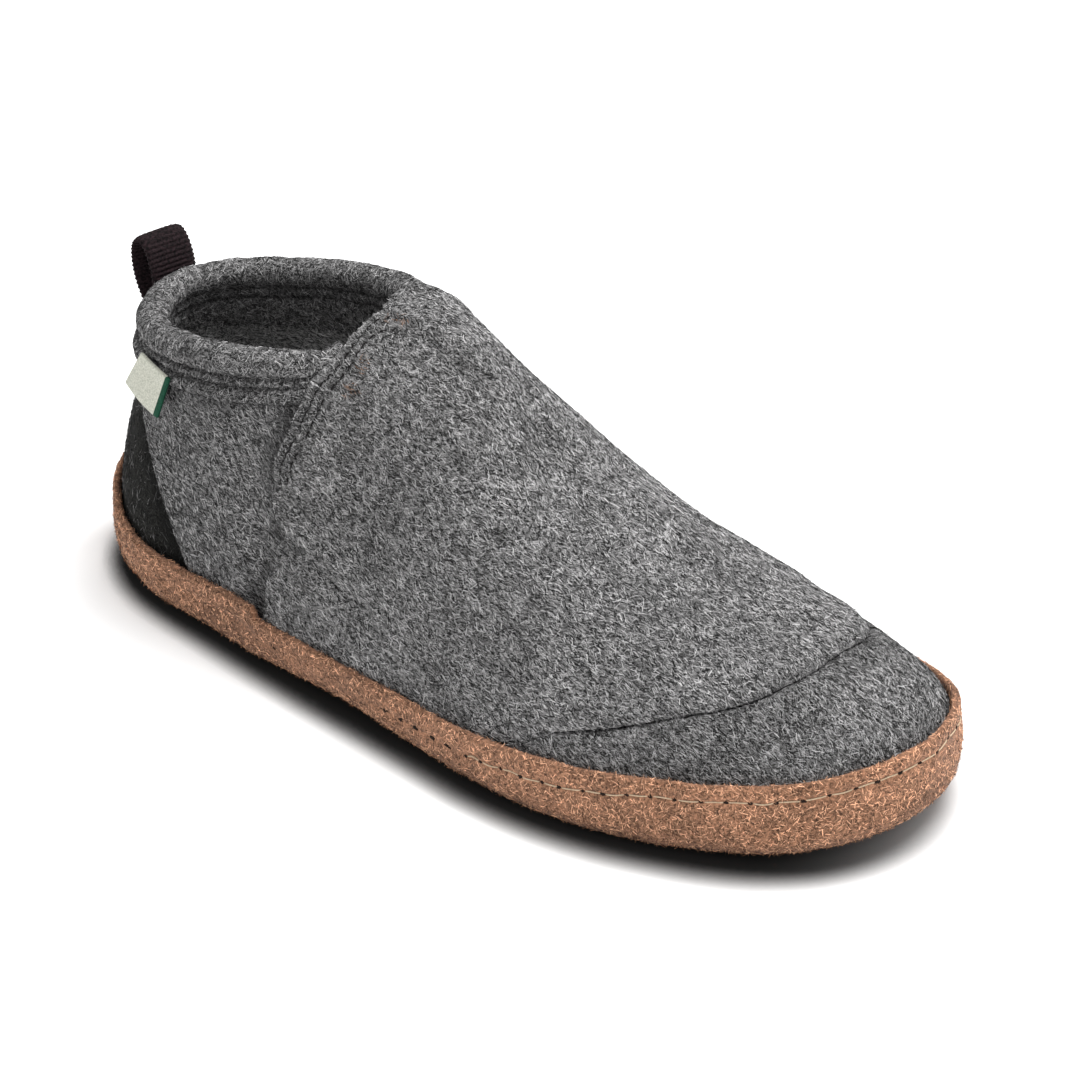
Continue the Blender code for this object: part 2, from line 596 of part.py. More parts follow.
# Origin: middle of the whole shoe's box, on the ground
corners = np.array([v.co for o in made for v in o.data.vertices])
low, high = corners.min(0), corners.max(0)
shift = -np.array([(low[0] + high[0]) / 2, (low[1] + high[1]) / 2, low[2]])
for obj in made:
    for v in obj.data.vertices:
        v.co = v.co + type(v.co)(shift)
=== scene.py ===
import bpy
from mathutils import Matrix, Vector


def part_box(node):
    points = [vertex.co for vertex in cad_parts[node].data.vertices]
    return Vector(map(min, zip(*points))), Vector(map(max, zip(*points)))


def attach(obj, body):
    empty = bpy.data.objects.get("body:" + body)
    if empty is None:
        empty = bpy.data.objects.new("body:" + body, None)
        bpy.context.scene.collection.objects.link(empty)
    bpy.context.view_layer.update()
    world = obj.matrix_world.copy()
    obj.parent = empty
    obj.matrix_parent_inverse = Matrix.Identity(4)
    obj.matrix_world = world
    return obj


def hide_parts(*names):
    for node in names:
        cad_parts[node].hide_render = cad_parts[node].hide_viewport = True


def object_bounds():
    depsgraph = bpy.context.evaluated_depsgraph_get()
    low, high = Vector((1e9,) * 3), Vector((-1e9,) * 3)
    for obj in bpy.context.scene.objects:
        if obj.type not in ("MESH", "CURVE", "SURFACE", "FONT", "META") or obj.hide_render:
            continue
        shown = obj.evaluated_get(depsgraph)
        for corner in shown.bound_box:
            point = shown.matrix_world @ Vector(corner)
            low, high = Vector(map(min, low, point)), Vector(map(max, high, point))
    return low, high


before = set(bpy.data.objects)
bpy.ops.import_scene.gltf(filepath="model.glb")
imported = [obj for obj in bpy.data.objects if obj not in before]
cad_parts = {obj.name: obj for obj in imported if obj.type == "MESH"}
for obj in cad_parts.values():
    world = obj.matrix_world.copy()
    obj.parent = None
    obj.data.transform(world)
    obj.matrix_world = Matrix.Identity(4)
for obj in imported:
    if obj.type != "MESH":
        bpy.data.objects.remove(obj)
CAD_BOX = [tuple(v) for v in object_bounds()]

import math

import bmesh
import bpy
import numpy as np
from mathutils import Matrix, Vector

MM = 0.001
LENGTH = 275.0          # outside of the sole, heel to toe
SUEDE = 2.0             # suede thickness at the rim
FELT = 3.0              # felt thickness of the upper
GAP = 0.3               # air between pieces that meet
VAMP_GAP = 0.8         # air between the vamp and the upper under it
VAMP_T = 2.8            # vamp and toe cap thickness
FLOOR = 4.2             # top of the sole inside
BOTTOM_R = (7.0, 8.5)   # bottom edge rounding, across and up

# Sole outline: k = station number, x, half width on the lateral (-Y) and on the medial (+Y) side
OUTLINE = (
    # name        k    x     lateral medial
    ("heel_back", 1, 7.0, 17.5, 18.8),
    ("heel_seat", 2, 28.0, 32.2, 31.8),
    ("heel_front", 3, 60.0, 38.2, 34.2),
    ("waist_back", 4, 98.0, 43.8, 33.4),
    ("waist_front", 5, 138.0, 48.2, 37.6),
    ("ball", 6, 178.0, 52.6, 42.2),
    ("tread", 7, 213.0, 49.8, 44.4),
    ("toe_root", 8, 242.0, 40.6, 38.6),
    ("toe_front", 9, 262.0, 28.8, 30.2),
)
HEEL_TIP_Y, TOE_TIP_Y = 0.6, 7.5

# Rim height of the suede cup along the length
RIM = ((0.0, 24.0), (20.0, 18.5), (40.0, 16.6), (90.0, 16.8), (140.0, 16.4), (190.0, 18.9), (235.0, 22.8), (275.0, 27.0))

# Lift of the sole's underside: heel bevel, arch, toe spring
LIFT = ((0.0, 1.2), (14.0, 0.0), (70.0, 0.0), (118.0, 2.2), (158.0, 0.0), (212.0, 0.0), (245.0, 1.6), (275.0, 4.5))

# Top of each rib: collar line (k 0 to 5), throat edge (5 to 5.6), ridge (5.6 to 10)
COLLAR_LINE = (
    # name          k  lateral x, y, z       medial x, y, z
    ("back", 0, 14.9, 4.4, 74.1, 14.9, 4.4, 74.1),
    ("back_corner", 1, 20.8, -10.6, 74.3, 23.2, 16.4, 75.3),
    ("rear_side", 2, 34.8, -22.0, 76.3, 36.0, 23.2, 77.0),
    ("side", 3, 55.5, -27.8, 79.6, 55.5, 27.8, 80.0),
    ("front_side", 4, 78.5, -26.6, 83.1, 78.5, 26.6, 84.0),
    ("throat_corner", 5, 95.5, -17.4, 84.6, 95.5, 17.4, 88.4),
)
THROAT_K = 5.6
RIDGE = (
    # name         k     x      y     z
    ("throat", 5.6, 100.0, 0.5, 92.0),
    ("instep", 6.0, 128.0, -3.4, 93.0),
    ("waist", 6.6, 154.0, -2.8, 74.0),
    ("ball", 7.2, 180.0, 0.8, 60.9),
    ("tread", 8.0, 204.0, 0.6, 50.4),
    ("toe_box", 9.0, 224.0, 2.0, 44.2),
    ("toe_end", 10.0, 233.0, 2.4, 41.2),
)
# Shape of the ribs: outward lean at the foot, lower and upper handle (shares of the chord), how far the top closes over
RIB_SHAPE = (
    # name        k    lean   lower  upper  closed
    ("back", 0, -0.05, 0.43, 0.30, 0.0),
    ("rear", 2, -0.07, 0.41, 0.22, 0.0),
    ("side", 3, -0.10, 0.37, 0.12, 0.0),
    ("front_side", 4, -0.13, 0.35, 0.11, 0.0),
    ("corner", 5, -0.15, 0.35, 0.16, 0.25),
    ("throat_side", 5.3, -0.165, 0.345, 0.19, 0.70),
    ("throat", 5.6, -0.18, 0.34, 0.20, 0.95),
    ("instep", 6, -0.22, 0.33, 0.10, 1.0),
    ("ball", 7, -0.31, 0.345, 0.15, 1.0),
    ("tread", 8, -0.39, 0.37, 0.23, 1.0),
    ("toe", 10, -0.45, 0.385, 0.28, 1.0),
)

# Fuller instep on the medial side: station, share of the rib, their spreads, height
SHOULDER = (5.51, 0.91, 0.58, 0.11, 4.6)

# Edges of the panels, by share of the rib's length above the cup
WING_FOOT_K = 3.62
WING_EDGE = ((-1.0, 3.62), (0.0, 3.64), (0.15, 3.70), (0.23, 3.79), (0.37, 3.92), (0.50, 3.95), (0.61, 4.0), (0.69, 4.1), (0.77, 4.28), (0.88, 4.55), (0.94, 4.72), (1.0, 5.0))
TOE_SEAM = ((6.43, 0.0), (6.6, 0.075), (6.8, 0.115), (7.25, 0.170), (7.75, 0.240), (8.2, 0.315), (8.5, 0.378), (8.85, 0.455), (9.15, 0.540), (9.6, 0.650), (10.0, 0.690))
TOE_SEAM_K = 6.43
BACK_V = ((-1.0, 2.78), (0.0, 2.75), (0.16, 2.55), (0.32, 2.33), (0.50, 2.02), (0.62, 1.68), (0.72, 1.40), (0.85, 1.10))
BACK_V_TOP = 0.85
GUSSET_IN, GUSSET_T = 0.9, 2.3      # face set back from the quarters, thickness
GUSSET_EDGE, GUSSET_TOP = 0.035, 0.842      # stations short of the quarters' edges, share at the top
# Collar section, down from the upper's top edge and out from its face
COLLAR_SECTION = (
    # name           down   out
    ("outer_foot", 10.0, 0.4),
    ("outer_edge", 10.0, 2.2),
    ("flange", 6.5, 2.4),
    ("groove", 3.6, 2.2),
    ("roll_out", 1.2, 2.7),
    ("roll_shoulder", -1.4, 2.0),
    ("roll_top_out", -2.9, 0.2),
    ("roll_top", -3.4, -1.6),
    ("roll_top_in", -2.7, -3.6),
    ("roll_shoulder_in", -1.0, -5.2),
    ("roll_in", 1.4, -5.8),
    ("groove_in", 4.2, -5.2),
    ("inner_edge", 8.4, -5.5),
    ("inner_foot", 8.4, -3.5),
    ("inner_mid", 4.0, -3.5),
    ("inner_lip", 0.0, -3.5),
    ("edge_in", -0.55, -3.1),
    ("edge_out", -0.55, 0.0),
    ("outer_lip", 0.2, 0.4),
    ("outer_mid", 5.0, 0.4),
)
COLLAR_END = 0.06       # stations short of the vamp's edge
INSOLE_T = 4.2
# Pull loop: middle line of the webbing, distance back from its front leg and height
LOOP = (
    # name         back    z
    ("front_foot", 1.9, 64.0),
    ("front_mid", 1.1, 69.5),
    ("front_roll", 0.7, 75.0),
    ("front_top", 2.0, 80.2),
    ("crown_front", 4.6, 83.6),
    ("crown", 7.6, 84.0),
    ("crown_back", 10.2, 81.6),
    ("back_top", 11.0, 77.0),
    ("back_mid", 9.8, 71.0),
    ("back_foot", 6.2, 65.4),
)
LOOP_AT, LOOP_TURN = (12.3, 7.4), 13.0      # place of the front leg, degrees turned to the medial side
LOOP_W, LOOP_T = 13.6, 1.5
# Label: corners as station and share of the rib, standing off the quarter
TAG = (("top_back", 2.05, 0.918), ("top_front", 2.75, 0.879), ("bottom_front", 2.55, 0.69), ("bottom_back", 1.65, 0.711))
TAG_OFF, TAG_T = 3.0, 1.1


def spline(knots, values, periodic=False):
    """Cubic spline through the values, natural at the ends or periodic."""
    knots, values = np.asarray(knots, float), np.asarray(values, float)
    n = len(knots) - 1
    gap = np.diff(knots)
    slope = np.diff(values, axis=0) / (gap if values.ndim == 1 else gap[:, None])
    a = np.zeros((n + 1, n + 1))
    b = np.zeros_like(values)
    for i in range(1, n):
        a[i, i - 1], a[i, i], a[i, i + 1] = gap[i - 1], 2 * (gap[i - 1] + gap[i]), gap[i]
        b[i] = 6 * (slope[i] - slope[i - 1])
    if periodic:
        a[0, 0], a[0, 1], a[0, n - 1] = 2 * (gap[-1] + gap[0]), gap[0], gap[-1]
        b[0] = 6 * (slope[0] - slope[-1])
        a[n, n], a[n, 0] = 1, -1
    else:
        a[0, 0] = a[n, n] = 1
    bend = np.linalg.solve(a, b)

    def at(t):
        t = np.asarray(t, float)
        i = np.clip(np.searchsorted(knots, t, "right") - 1, 0, n - 1)
        h = gap[i]
        lo, hi = (knots[i + 1] - t) / h, (t - knots[i]) / h
        if values.ndim > 1:
            h, lo, hi = h[..., None], lo[..., None], hi[..., None]
        return lo * values[i] + hi * values[i + 1] + ((lo**3 - lo) * bend[i] + (hi**3 - hi) * bend[i + 1]) * h * h / 6

    return at


def smooth(t):
    t = np.clip(t, 0, 1)
    return t * t * (3 - 2 * t)


def pchip(xs, ys):
    """Monotone cubic through a short table."""
    xs, ys = np.asarray(xs, float), np.asarray(ys, float)
    h = np.diff(xs)
    d = np.diff(ys) / h
    m = np.zeros_like(ys)
    m[0], m[-1] = d[0], d[-1]
    for i in range(1, len(xs) - 1):
        if d[i - 1] * d[i] > 0:
            w1, w2 = 2 * h[i] + h[i - 1], h[i] + 2 * h[i - 1]
            m[i] = (w1 + w2) / (w1 / d[i - 1] + w2 / d[i])

    def at(t):
        t = np.clip(np.asarray(t, float), xs[0], xs[-1])
        i = np.clip(np.searchsorted(xs, t, "right") - 1, 0, len(xs) - 2)
        s = (t - xs[i]) / h[i]
        return (
            ys[i] * (1 + 2 * s) * (1 - s) ** 2
            + ys[i + 1] * s * s * (3 - 2 * s)
            + h[i] * (m[i] * s * (1 - s) ** 2 + m[i + 1] * s * s * (s - 1))
        )

    return at


OUT_K = np.arange(21.0)
OUT_PTS = np.array(
    [(0.0, HEEL_TIP_Y)]
    + [(r[2], -r[3]) for r in OUTLINE]
    + [(LENGTH, TOE_TIP_Y)]
    + [(r[2], r[4]) for r in reversed(OUTLINE)]
    + [(0.0, HEEL_TIP_Y)]
)
OUT_S = np.r_[0, np.cumsum(np.linalg.norm(np.diff(OUT_PTS, axis=0), axis=1))]
outline_at = spline(OUT_S, OUT_PTS, periodic=True)
rim_at = pchip([r[0] for r in RIM], [r[1] for r in RIM])
lift_at = pchip([r[0] for r in LIFT], [r[1] for r in LIFT])


def outline(k):
    """Outline point and outward normal at station k (0 heel, 1-9 lateral, 10 toe, 11-19 medial)."""
    s = np.interp(np.mod(k, 20), OUT_K, OUT_S)
    p = outline_at(s)
    d = outline_at(np.mod(s + 0.5, OUT_S[-1])) - outline_at(np.mod(s - 0.5, OUT_S[-1]))
    d /= np.linalg.norm(d, axis=-1, keepdims=True)
    return p, np.stack([d[..., 1], -d[..., 0]], -1)


collar_at = spline(
    [-r[1] for r in COLLAR_LINE[:0:-1]] + [r[1] for r in COLLAR_LINE],
    [r[5:] for r in COLLAR_LINE[:0:-1]] + [r[2:5] for r in COLLAR_LINE],
)
ridge_at = spline([r[1] for r in RIDGE], [r[2:] for r in RIDGE])
lean_at, lower_at, upper_at, closed_at = (
    pchip([r[1] for r in RIB_SHAPE], [r[i] for r in RIB_SHAPE]) for i in (2, 3, 4, 5)
)


def folded(k):
    """Station 0 to 10 whichever the side, and the side: -1 lateral, +1 medial."""
    k = np.mod(np.asarray(k, float), 20)
    return np.where(k <= 10, k, 20 - k), np.where(k <= 10, -1.0, 1.0)


def top_of(k):
    """Top point of rib k: on the collar line, then the throat edge, then the ridge."""
    f, side = folded(k)
    collar = collar_at(np.clip(f, 0, 5) * -side)
    ridge = ridge_at(np.clip(f, THROAT_K, 10))
    corner = collar_at(5.0 * -side)
    head = ridge_at(THROAT_K)
    t = np.clip((f - 5) / (THROAT_K - 5), 0, 1)[..., None]
    a = corner + np.stack([2.5 + 0 * side, -5.5 * side, 2.6 + 0 * side], -1)
    b = head + np.stack([-0.3 + 0 * side, 8.0 * side, -0.7 + 0 * side], -1)
    throat = (1 - t) ** 3 * corner + 3 * (1 - t) ** 2 * t * a + 3 * (1 - t) * t * t * b + t**3 * head
    return np.where((f <= 5)[..., None], collar, np.where((f < THROAT_K)[..., None], throat, ridge))


def inset_of(k):
    """How far the upper stands inside the sole's outline: more where the vamp lies over it."""
    f, _ = folded(k)
    return SUEDE + GAP + (VAMP_T + VAMP_GAP) * smooth((f - WING_FOOT_K + 0.35) / 0.35)


def rib(k, v):
    """Outer face of the upper at station k. v 0 is 3 mm under the rim and 1 the top; below 0 it runs straight down in the cup to its foot at -1."""
    k, v = np.broadcast_arrays(np.asarray(k, float), np.asarray(v, float))
    o, n = outline(k)
    f, _ = folded(k)
    top = top_of(k)
    foot = o - n * inset_of(k)[..., None]
    x = np.clip(o[..., 0], 0, LENGTH)
    z0 = rim_at(x) - 3.0
    p0 = np.concatenate([foot, z0[..., None]], -1)
    lean, low, high, shut = lean_at(f), lower_at(f), upper_at(f), closed_at(f)
    chord = np.linalg.norm(top - p0, axis=-1)
    rise = np.concatenate([n * lean[..., None], np.ones_like(lean)[..., None]], -1)
    rise /= np.linalg.norm(rise, axis=-1, keepdims=True)
    flat = top[..., :2] - foot
    flat /= np.linalg.norm(flat, axis=-1, keepdims=True)
    a, b = (ridge_at(np.clip(f, THROAT_K + 0.05, 9.95) + s) for s in (-0.05, 0.05))
    slope = np.clip((b[..., 2] - a[..., 2]) / (b[..., 0] - a[..., 0]), -0.8, 0.3)
    over = np.stack([flat[..., 0], flat[..., 1], slope * flat[..., 0]], -1)
    over /= np.linalg.norm(over, axis=-1, keepdims=True)
    up = (top - p0) / chord[..., None] * 0.5 + np.array([0, 0, 0.5])
    up /= np.linalg.norm(up, axis=-1, keepdims=True)
    end = over * shut[..., None] + up * (1 - shut[..., None])
    end /= np.linalg.norm(end, axis=-1, keepdims=True)
    p1 = p0 + rise * (low * chord)[..., None]
    p2 = top - end * (high * chord)[..., None]
    w = np.clip(v, 0, 1)[..., None]
    p = (1 - w) ** 3 * p0 + 3 * (1 - w) ** 2 * w * p1 + 3 * (1 - w) * w * w * p2 + w**3 * top
    drop = np.clip(-v, 0, 1) * (z0 - FLOOR - GAP - lift_at(x))
    return p - drop[..., None] * np.array([0, 0, 1.0])


def rib_length(k):
    v = np.linspace(0, 1, 33)
    p = rib(np.asarray(k, float)[..., None], v)
    return np.concatenate([np.zeros(p.shape[:-2] + (1,)), np.cumsum(np.linalg.norm(np.diff(p, axis=-2), axis=-1), -1)], -1)


def at_share(k, share):
    """v at this share of the rib's length above the cup; below 0 it stays as it is."""
    k, share = np.broadcast_arrays(np.asarray(k, float), np.asarray(share, float))
    run = rib_length(k)
    want = np.clip(share, 0, 1) * run[..., -1]
    i = np.clip((run <= want[..., None]).sum(-1) - 1, 0, 31)
    lo = np.take_along_axis(run, i[..., None], -1)[..., 0]
    hi = np.take_along_axis(run, i[..., None] + 1, -1)[..., 0]
    return np.where(share < 0, share, (i + (want - lo) / (hi - lo)) / 32)


def normal_at(k, v):
    v = np.clip(v, -1, 0.965)
    along = rib(k + 0.03, v) - rib(k - 0.03, v)
    up = rib(k, np.clip(v + 0.03, -1, 0.985)) - rib(k, np.clip(v - 0.03, -1, 1))
    n = np.cross(along, up)
    return n / np.linalg.norm(n, axis=-1, keepdims=True)


def form(k, share, off):
    """The upper's own surface, moved out by off: every felt piece is taken from it."""
    k, share = np.broadcast_arrays(np.asarray(k, float), np.asarray(share, float))
    v = at_share(k, share)
    f, side = folded(k)
    k0, s0, dk, ds, high = SHOULDER
    full = high * np.exp(-((f - k0) / dk) ** 2 - ((share - s0) / ds) ** 2) * np.where(f < THROAT_K, side > 0, smooth((side * (1 - share) + 0.05) / 0.1))
    return rib(k, v) + normal_at(k, v) * (np.asarray(off, float) + full)[..., None]


wing_at = pchip([r[0] for r in WING_EDGE], [r[1] for r in WING_EDGE])
seam_at = pchip([r[0] for r in TOE_SEAM], [r[1] for r in TOE_SEAM])
back_v_at = pchip([r[0] for r in BACK_V], [r[1] for r in BACK_V])


def collar_point(k, down, out):
    """A point of the collar's section at station k."""
    length = rib_length(k)[..., -1]
    share = 1 - np.maximum(down, 0) / length
    p = form(k, share, out)
    n = normal_at(k, np.ones_like(k))
    along = rib(k + 0.03, 1.0 + 0 * k) - rib(k - 0.03, 1.0 + 0 * k)
    up = np.cross(n, along)
    up /= np.linalg.norm(up, axis=-1, keepdims=True)
    up = np.where(up[..., 2:] < 0, -up, up)
    return p + up * np.maximum(-down, 0)[..., None]


def stations_round(step):
    near = np.arange(0, 10 + step / 2, step)
    return np.concatenate([near, 20 - near[-2:0:-1]])


def ring(k, inset, z):
    o, n = outline(k)
    p = o - n * np.broadcast_to(inset, k.shape)[..., None]
    return np.concatenate([p, np.broadcast_to(z, k.shape)[..., None]], -1)

# ---------- how the looks are built: the same functions as the frame's, at a finer step, with seams, creases and nap

low, high = (np.array(v) for v in CAD_BOX)
_k0 = stations_round(0.25)
_o0 = outline(_k0)[0]
SOLE_LOW = np.array(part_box("outsole")[0]) / MM
SHIFT = np.array([SOLE_LOW[0] - _o0[:, 0].min(), SOLE_LOW[1] - _o0[:, 1].min(), 0.0])
TOP = VAMP_T + VAMP_GAP

LATTICE = np.random.RandomState(11).rand(32, 32, 32) * 2 - 1


def noise(p, size):
    """Smooth value noise in -1..1, features about size mm."""
    q = np.asarray(p) / size + 57.31
    i = np.floor(q).astype(int)
    f = q - i
    f = f * f * (3 - 2 * f)
    out = 0
    for a in (0, 1):
        for b in (0, 1):
            for c in (0, 1):
                w = np.where(a, f[..., 0], 1 - f[..., 0]) * np.where(b, f[..., 1], 1 - f[..., 1]) * np.where(c, f[..., 2], 1 - f[..., 2])
                out = out + w * LATTICE[(i[..., 0] + a) % 32, (i[..., 1] + b) % 32, (i[..., 2] + c) % 32]
    return out


def base_of(k, share):
    """Surface point, with the shoulder's fullness in it, and outward normal for grids of stations and shares."""
    k, share = np.broadcast_arrays(np.asarray(k, float), np.asarray(share, float))
    v = at_share(k, share)
    n = normal_at(k, v)
    flat = form(k, share, 0 * k)
    return flat, n


def near(points, line):
    """Distance to a polyline and the length along it, for every point."""
    shape = points.shape[:-1]
    p = points.reshape(-1, 3)
    best, where = np.full(len(p), 1e9), np.zeros(len(p))
    run = 0.0
    for a, b in zip(line[:-1], line[1:]):
        ab = b - a
        size = np.linalg.norm(ab) + 1e-9
        t = np.clip((p - a) @ ab / size**2, 0, 1)
        d = np.linalg.norm(p - a - t[:, None] * ab, axis=1)
        m = d < best
        best[m], where[m] = d[m], run + t[m] * size
        run += size
    return best.reshape(shape), where.reshape(shape)


def rounding(d, r):
    e = 1 - np.clip(d / r, 0, 1)
    return r * (1 - np.sqrt(np.clip(1 - e * e, 0, 1)))


def hump(d, w):
    return np.exp(-((d / w) ** 2))


class Cloth:
    """Gathers grids of points into one mesh."""

    def __init__(self):
        self.points, self.quads, self.tones, self.count = [], [], [], 0

    def grid(self, p, ring=False, flip=False, tone=1.0, skip=None):
        rows, cols = p.shape[:2]
        ids = np.arange(rows * cols).reshape(rows, cols) + self.count
        nxt = np.roll(ids, -1, 1) if ring else ids[:, 1:]
        cur = ids if ring else ids[:, :-1]
        q = np.stack([cur[:-1], nxt[:-1], nxt[1:], cur[1:]], -1)
        if skip is not None:
            q = q[~skip[: q.shape[0], : q.shape[1]]]
        q = q.reshape(-1, 4)
        self.quads.append(q[:, ::-1] if flip else q)
        self.points.append(p.reshape(-1, 3))
        self.tones.append(np.broadcast_to(np.asarray(tone, float), (rows, cols)).reshape(-1))
        self.count += rows * cols
        return self

    def make(self, name, look, weld=0.02, node=None, slot=None):
        pts = (np.concatenate(self.points) + SHIFT) * MM
        quads = np.concatenate(self.quads)
        tones = np.concatenate(self.tones)
        mesh = bpy.data.meshes.new(name)
        mesh.from_pydata(pts.tolist(), [], quads.tolist())
        tone = mesh.attributes.new("tone", "FLOAT", "POINT")
        tone.data.foreach_set("value", tones.astype(np.float32))
        if weld:
            edit = bmesh.new()
            edit.from_mesh(mesh)
            bmesh.ops.remove_doubles(edit, verts=edit.verts[:], dist=weld * MM)
            bmesh.ops.dissolve_degenerate(edit, edges=edit.edges[:], dist=1e-7)
            edit.to_mesh(mesh)
            edit.free()
        mesh.shade_smooth()
        mesh.materials.append(look)
        made = bpy.data.objects.new(name, mesh)
        bpy.context.scene.collection.objects.link(made)
        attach(made, "root")
        if node:
            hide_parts(node)
        return made


def scattered(obj, count, seed, keep=None):
    """Seeded random points over a mesh, by area, with normals and tone."""
    me = obj.data
    me.calc_loop_triangles()
    n = len(me.loop_triangles)
    tri = np.zeros(n * 3, int)
    me.loop_triangles.foreach_get("vertices", tri)
    tri = tri.reshape(-1, 3)
    co = np.zeros(len(me.vertices) * 3)
    me.vertices.foreach_get("co", co)
    co = co.reshape(-1, 3) / MM
    nr = np.zeros(len(me.vertices) * 3)
    me.vertex_normals.foreach_get("vector", nr)
    nr = nr.reshape(-1, 3)
    tone = np.zeros(len(me.vertices))
    me.attributes["tone"].data.foreach_get("value", tone)
    mid = co[tri].mean(1)
    if keep is not None:
        tri = tri[keep(mid - SHIFT, nr[tri].mean(1))]
    a, b, c = co[tri[:, 0]], co[tri[:, 1]], co[tri[:, 2]]
    area = np.linalg.norm(np.cross(b - a, c - a), axis=1)
    rng = np.random.RandomState(seed)
    pick = rng.choice(len(tri), count, p=area / area.sum())
    u, v = rng.rand(count), rng.rand(count)
    turn = u + v > 1
    u[turn], v[turn] = 1 - u[turn], 1 - v[turn]
    w = np.stack([1 - u - v, u, v], 1)[..., None]
    t = tri[pick]
    nn = (nr[t] * w).sum(1)
    nn /= np.linalg.norm(nn, axis=1, keepdims=True) + 1e-9
    return (co[t] * w).sum(1), nn, (tone[t] * w[..., 0]).sum(1), rng


def fibres(name, obj, count, seed, look, length=2.2, width=0.2, lift=0.22, stray=0.03, stray_lift=1.2, shades=((0.3, 2.3), (0.4, 1.0), (0.3, 0.12)), keep=None, steps=2, along=None, fade=None):
    """Curved ribbons lying on the cloth, most of them flat, a few standing off it, joined as one mesh."""
    p, n, tone, rng = scattered(obj, count, seed, keep)
    ref = rng.randn(count, 3)
    if along is not None:
        ref = ref * 0.62 + np.array(along) * np.where(rng.rand(count, 1) < 0.5, 1, -1)
    d = ref - n * (ref * n).sum(1, keepdims=True)
    d /= np.linalg.norm(d, axis=1, keepdims=True) + 1e-9
    s = np.cross(n, d)
    size = length * (0.45 + 1.1 * rng.rand(count) ** 1.3)
    bend = rng.randn(count) * 0.16
    loose = rng.rand(count) < stray
    top = lift * (0.25 + rng.rand(count))
    end = np.where(loose, stray_lift * (0.35 + 0.65 * rng.rand(count)), lift * (rng.rand(count) - 0.35))
    tilt = rng.randn(count) * 0.5
    side = s * np.cos(tilt)[:, None] + n * np.sin(tilt)[:, None]
    wide = width * (0.6 + 0.8 * rng.rand(count)) * np.where(loose, 0.6, 1)
    which = rng.rand(count)
    share = np.array([x[0] for x in shades]).cumsum()
    shade = np.array([x[1] for x in shades])[np.minimum(np.searchsorted(share, which), len(shades) - 1)]
    shade = shade * (0.75 + 0.5 * rng.rand(count)) * (tone if fade is None else 1 - fade * tone)
    rows = []
    ts = np.linspace(-0.5, 0.5, steps + 1)
    for t in ts:
        c = p + d * (size * t)[:, None] + s * (bend * size * (0.25 - t * t) * 1.6)[:, None]
        flat_rise = top * (0.6 + 0.4 * np.sign(t) * np.sign(end)) if steps == 1 else top * (1 - (2 * t) ** 2) + end * (2 * t) ** 2 * 0.5
        rise = np.where(loose, end * np.clip(t + 0.5, 0, 1) ** 1.5, flat_rise)
        c = c + n * rise[:, None]
        w = wide * (1 - 0.75 * abs(2 * t) ** 2.2 * (steps > 1)) / 2
        rows.append(c - side * w[:, None])
        rows.append(c + side * w[:, None])
    pts = np.stack(rows, 1).reshape(-1, 3) * MM
    m = 2 * (steps + 1)
    one = np.array([[2 * i, 2 * i + 1, 2 * i + 3, 2 * i + 2] for i in range(steps)])
    quads = (np.arange(count)[:, None, None] * m + one[None]).reshape(-1, 4)
    mesh = bpy.data.meshes.new(name)
    mesh.vertices.add(len(pts))
    mesh.vertices.foreach_set("co", pts.reshape(-1))
    mesh.loops.add(quads.size)
    mesh.loops.foreach_set("vertex_index", quads.reshape(-1))
    mesh.polygons.add(len(quads))
    mesh.polygons.foreach_set("loop_start", np.arange(len(quads)) * 4)
    mesh.update(calc_edges=True)
    mesh.validate()
    tone_at = mesh.attributes.new("tone", "FLOAT", "POINT")
    tone_at.data.foreach_set("value", np.repeat(shade, m).astype(np.float32))
    mesh.shade_smooth()
    mesh.materials.append(look)
    made = bpy.data.objects.new(name, mesh)
    bpy.context.scene.collection.objects.link(made)
    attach(made, "root")
    return made


# ---------- materials

def nodes_of(name):
    mat = bpy.data.materials.new(name)
    mat.use_nodes = True
    tree = mat.node_tree
    return mat, tree, tree.nodes["Principled BSDF"]


def mul(tree, a, b, op="MULTIPLY"):
    n = tree.nodes.new("ShaderNodeMath")
    n.operation = op
    for i, v in enumerate((a, b)):
        if isinstance(v, (int, float)):
            n.inputs[i].default_value = v
        else:
            tree.links.new(v, n.inputs[i])
    return n.outputs[0]


def noise_tex(tree, vector, scale, detail=2.0, rough=0.5, warp=0.0):
    n = tree.nodes.new("ShaderNodeTexNoise")
    n.inputs["Scale"].default_value = scale
    n.inputs["Detail"].default_value = detail
    n.inputs["Roughness"].default_value = rough
    n.inputs["Distortion"].default_value = warp
    tree.links.new(vector, n.inputs["Vector"])
    return n.outputs["Fac"]


def streak(tree, vector, turn, long, across):
    m = tree.nodes.new("ShaderNodeMapping")
    m.inputs["Rotation"].default_value = turn
    m.inputs["Scale"].default_value = (long, across, across)
    tree.links.new(vector, m.inputs["Vector"])
    return noise_tex(tree, m.outputs["Vector"], 1.0, 1.0, 0.5)


def ramp(tree, fac, stops):
    r = tree.nodes.new("ShaderNodeMapRange")
    r.inputs["From Min"].default_value, r.inputs["From Max"].default_value = stops[0], stops[1]
    r.inputs["To Min"].default_value, r.inputs["To Max"].default_value = stops[2], stops[3]
    tree.links.new(fac, r.inputs["Value"])
    return r.outputs["Result"]


